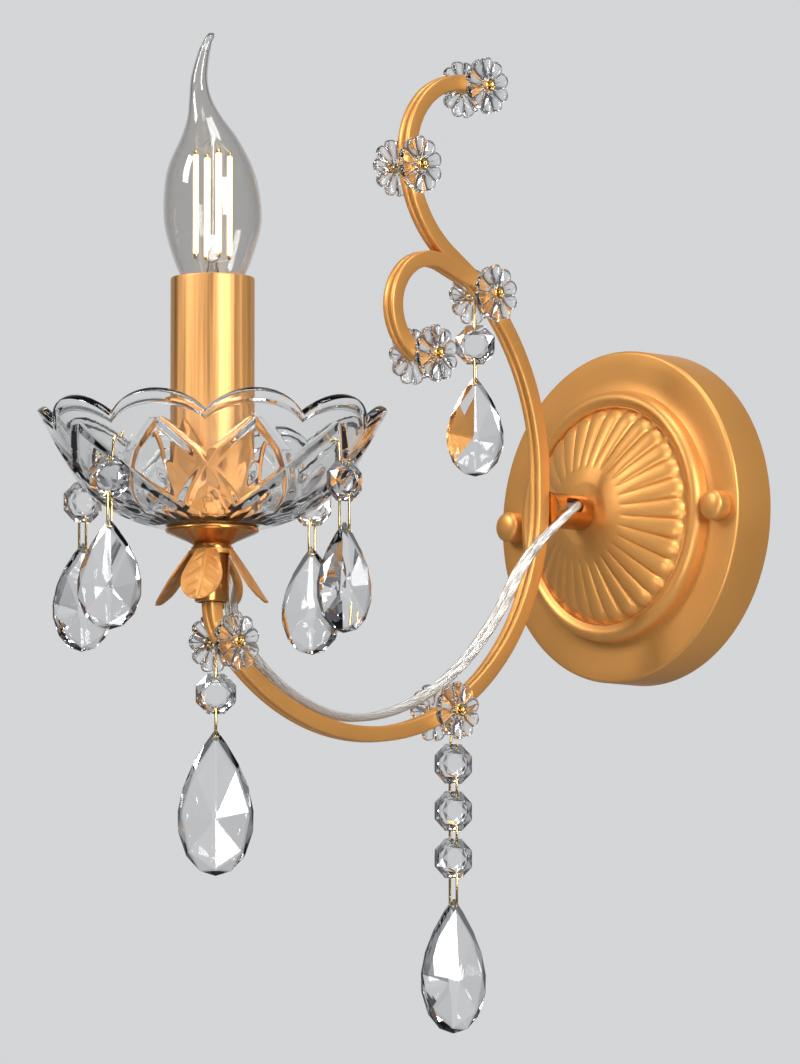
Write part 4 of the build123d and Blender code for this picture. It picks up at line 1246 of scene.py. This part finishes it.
def pin_string(bead_shape, name, side, spot, bodies, fall, step, last, drop, turn):
    """A string from a rosette's pin: an eye and hook, its beads and loops, and a drop.

    fall is the first bead's depth under the pin, step and last are the loops' lengths."""
    facing = compass(turn)
    reach, z = ROSETTES[spot]
    pin_at = at(side * EYE_X, reach, z)
    bead_at = pin_at - upward(fall)
    hole = bead_at + upward(BEAD_HOLE)
    ring = [pin_at + Vector((0, PIN_EYE_R * cos(round_eye), PIN_EYE_R * sin(round_eye)))
            for round_eye in all_round(24)]
    eye = bent(ring, radius=PIN_EYE_WIRE_R, bend=0.0, closed=True)
    out = facing * (WIRE_OUT if facing.x * side > 0 else -WIRE_OUT)
    wire = bent([pin_at - upward(1.5), pin_at - upward(3.1), hole - out, hole + out,
                 hole + out + upward(WIRE_TAIL)])
    hang(f"{name}_hook", joined([eye, wire]), bodies[0])
    beads = len(bodies) - 1
    for i in range(beads):
        tag = f"_{i + 1}" if beads > 1 else ""
        hang_stone(f"{name}_bead{tag}", bead_shape, bead_at, facing, bodies[i])
        lower = bead_at - upward(BEAD_HOLE)
        length = last if i == beads - 1 else step
        hang(f"{name}_link{tag}", loop_link(lower, facing, length), bodies[i + 1])
        bead_at = lower - upward(length + BEAD_HOLE)
    tip = lower - upward(length - TIP_HOLE)
    hang_stone(f"{name}_drop", make_drop(*drop), tip, facing, bodies[-1])


canopy_shell()
cap_nuts()
stub()
arm_and_curl()
rosettes()
rosette_pins()
candle_cup()
all_leaves()
candle_sleeve()
drip_pan()
bulb_glass()
bulb_cap()
bulb_lights()
supply_flex()
bead_shape = make_bead()
pan_strings(bead_shape, make_drop(38.0, 22.5))
for string in (
    ("arm_string", -1, "middle", ["arm_string_upper", "arm_string_lower"], 17.6, 0, 9.4, (36.0, 20.5), 40),
    ("cup_string", -1, "candle", ["cup_string_upper", "cup_string_lower"], 17.6, 0, 10.3, (51.0, 26.5), 46),
    ("scroll_string", 1, "scroll", [
        "scroll_string_upper_1", "scroll_string_upper_2", "scroll_string_upper_3", "scroll_string_lower"],
     18.8, 6.7, 12.3, (47.5, 25.0), 72),
):
    pin_string(bead_shape, *string)


# ------------------------------------------------------------------ stage

PALE = (0.66, 0.67, 0.68)
AIM = at(0, 130.0, 20.0) * MM


def soft_lamp(name, place, size, power):
    """A soft lamp aimed at the sconce's middle."""
    data = bpy.data.lights.new(name, "AREA")
    data.shape = "RECTANGLE"
    data.size, data.size_y = size
    data.energy = power
    lamp = bpy.data.objects.new(name, data)
    scene.collection.objects.link(lamp)
    way = AIM - Vector(place)
    lamp.matrix_world = Matrix.Translation(place) @ way.to_track_quat("-Z", "Y").to_matrix().to_4x4()


def pale_floor():
    """A pale floor well below the sconce."""
    low, far = -1700, 6000
    mesh = mesh_of([(-far, -far, low), (far, -far, low), (far, far, low), (-far, far, low)],
                   [(0, 1, 2, 3)], outward=False)
    material, tree, base = shader("pale_floor")
    feed(tree, base, {"Base Color": (*PALE, 1), "Roughness": 0.8})
    seen = add(tree, "ShaderNodeLightPath").outputs["Is Camera Ray"]
    level = add(tree, "ShaderNodeEmission", {"Color": (*PALE, 1)}).outputs["Emission"]
    above = layered(tree, maths(tree, "MULTIPLY", seen, 0.85), base.outputs["BSDF"], level)
    # Seen from underneath, the floor is open.
    under = add(tree, "ShaderNodeNewGeometry").outputs["Backfacing"]
    nothing = add(tree, "ShaderNodeBsdfTransparent").outputs["BSDF"]
    feed(tree, tree.nodes["Material Output"], {"Surface": layered(tree, under, above, nothing)})
    mesh.materials.append(material)
    floor = bpy.data.objects.new("floor", mesh)
    scene.collection.objects.link(floor)


def surround():
    """A pale surround for the eye and for glass, and a dimmer one that lights the matt faces."""
    world = bpy.data.worlds.new("studio")
    scene.world = world
    world.use_nodes = True
    tree = world.node_tree
    # The backdrop is pale; the room on the lens's own side is darker, which gives glass its edges.
    way = add(tree, "ShaderNodeTexCoord").outputs["Generated"]
    ahead = add(tree, "ShaderNodeVectorMath", {0: way, 1: -view_back}, operation="DOT_PRODUCT")
    fade = add(tree, "ShaderNodeMapRange", {
        "Value": ahead.outputs["Value"], "From Min": 0.62, "From Max": 0.985}).outputs["Result"]
    rays = add(tree, "ShaderNodeLightPath").outputs
    pale = tree.nodes["Background"]
    room = blend(tree, maths(tree, "MAXIMUM", fade, rays["Is Camera Ray"]), (0.10, 0.10, 0.11), PALE)
    feed(tree, pale, {"Color": room, "Strength": 1.0})
    dim = add(tree, "ShaderNodeBackground", {"Color": (0.42, 0.43, 0.45, 1), "Strength": 0.5})
    straight = maths(tree, "MAXIMUM", rays["Is Camera Ray"], rays["Is Transmission Ray"])
    seen = maths(tree, "MAXIMUM", straight, rays["Is Glossy Ray"])
    surface = layered(tree, seen, dim.outputs["Background"], pale.outputs["Background"])
    feed(tree, tree.nodes["World Output"], {"Surface": surface})


def studio():
    pale_floor()
    surround()
    soft_lamp("key", (-0.5, -1.4, 0.9), (0.4, 0.7), 19.0)
    soft_lamp("side", (1.6, -0.5, 0.5), (0.5, 0.9), 29.0)
    soft_lamp("top", (0.3, -0.2, 1.3), (0.6, 0.6), 9.0)
    soft_lamp("low", (0.9, -1.0, -0.6), (0.6, 0.3), 6.0)
    scene.view_settings.view_transform = "Standard"


studio()
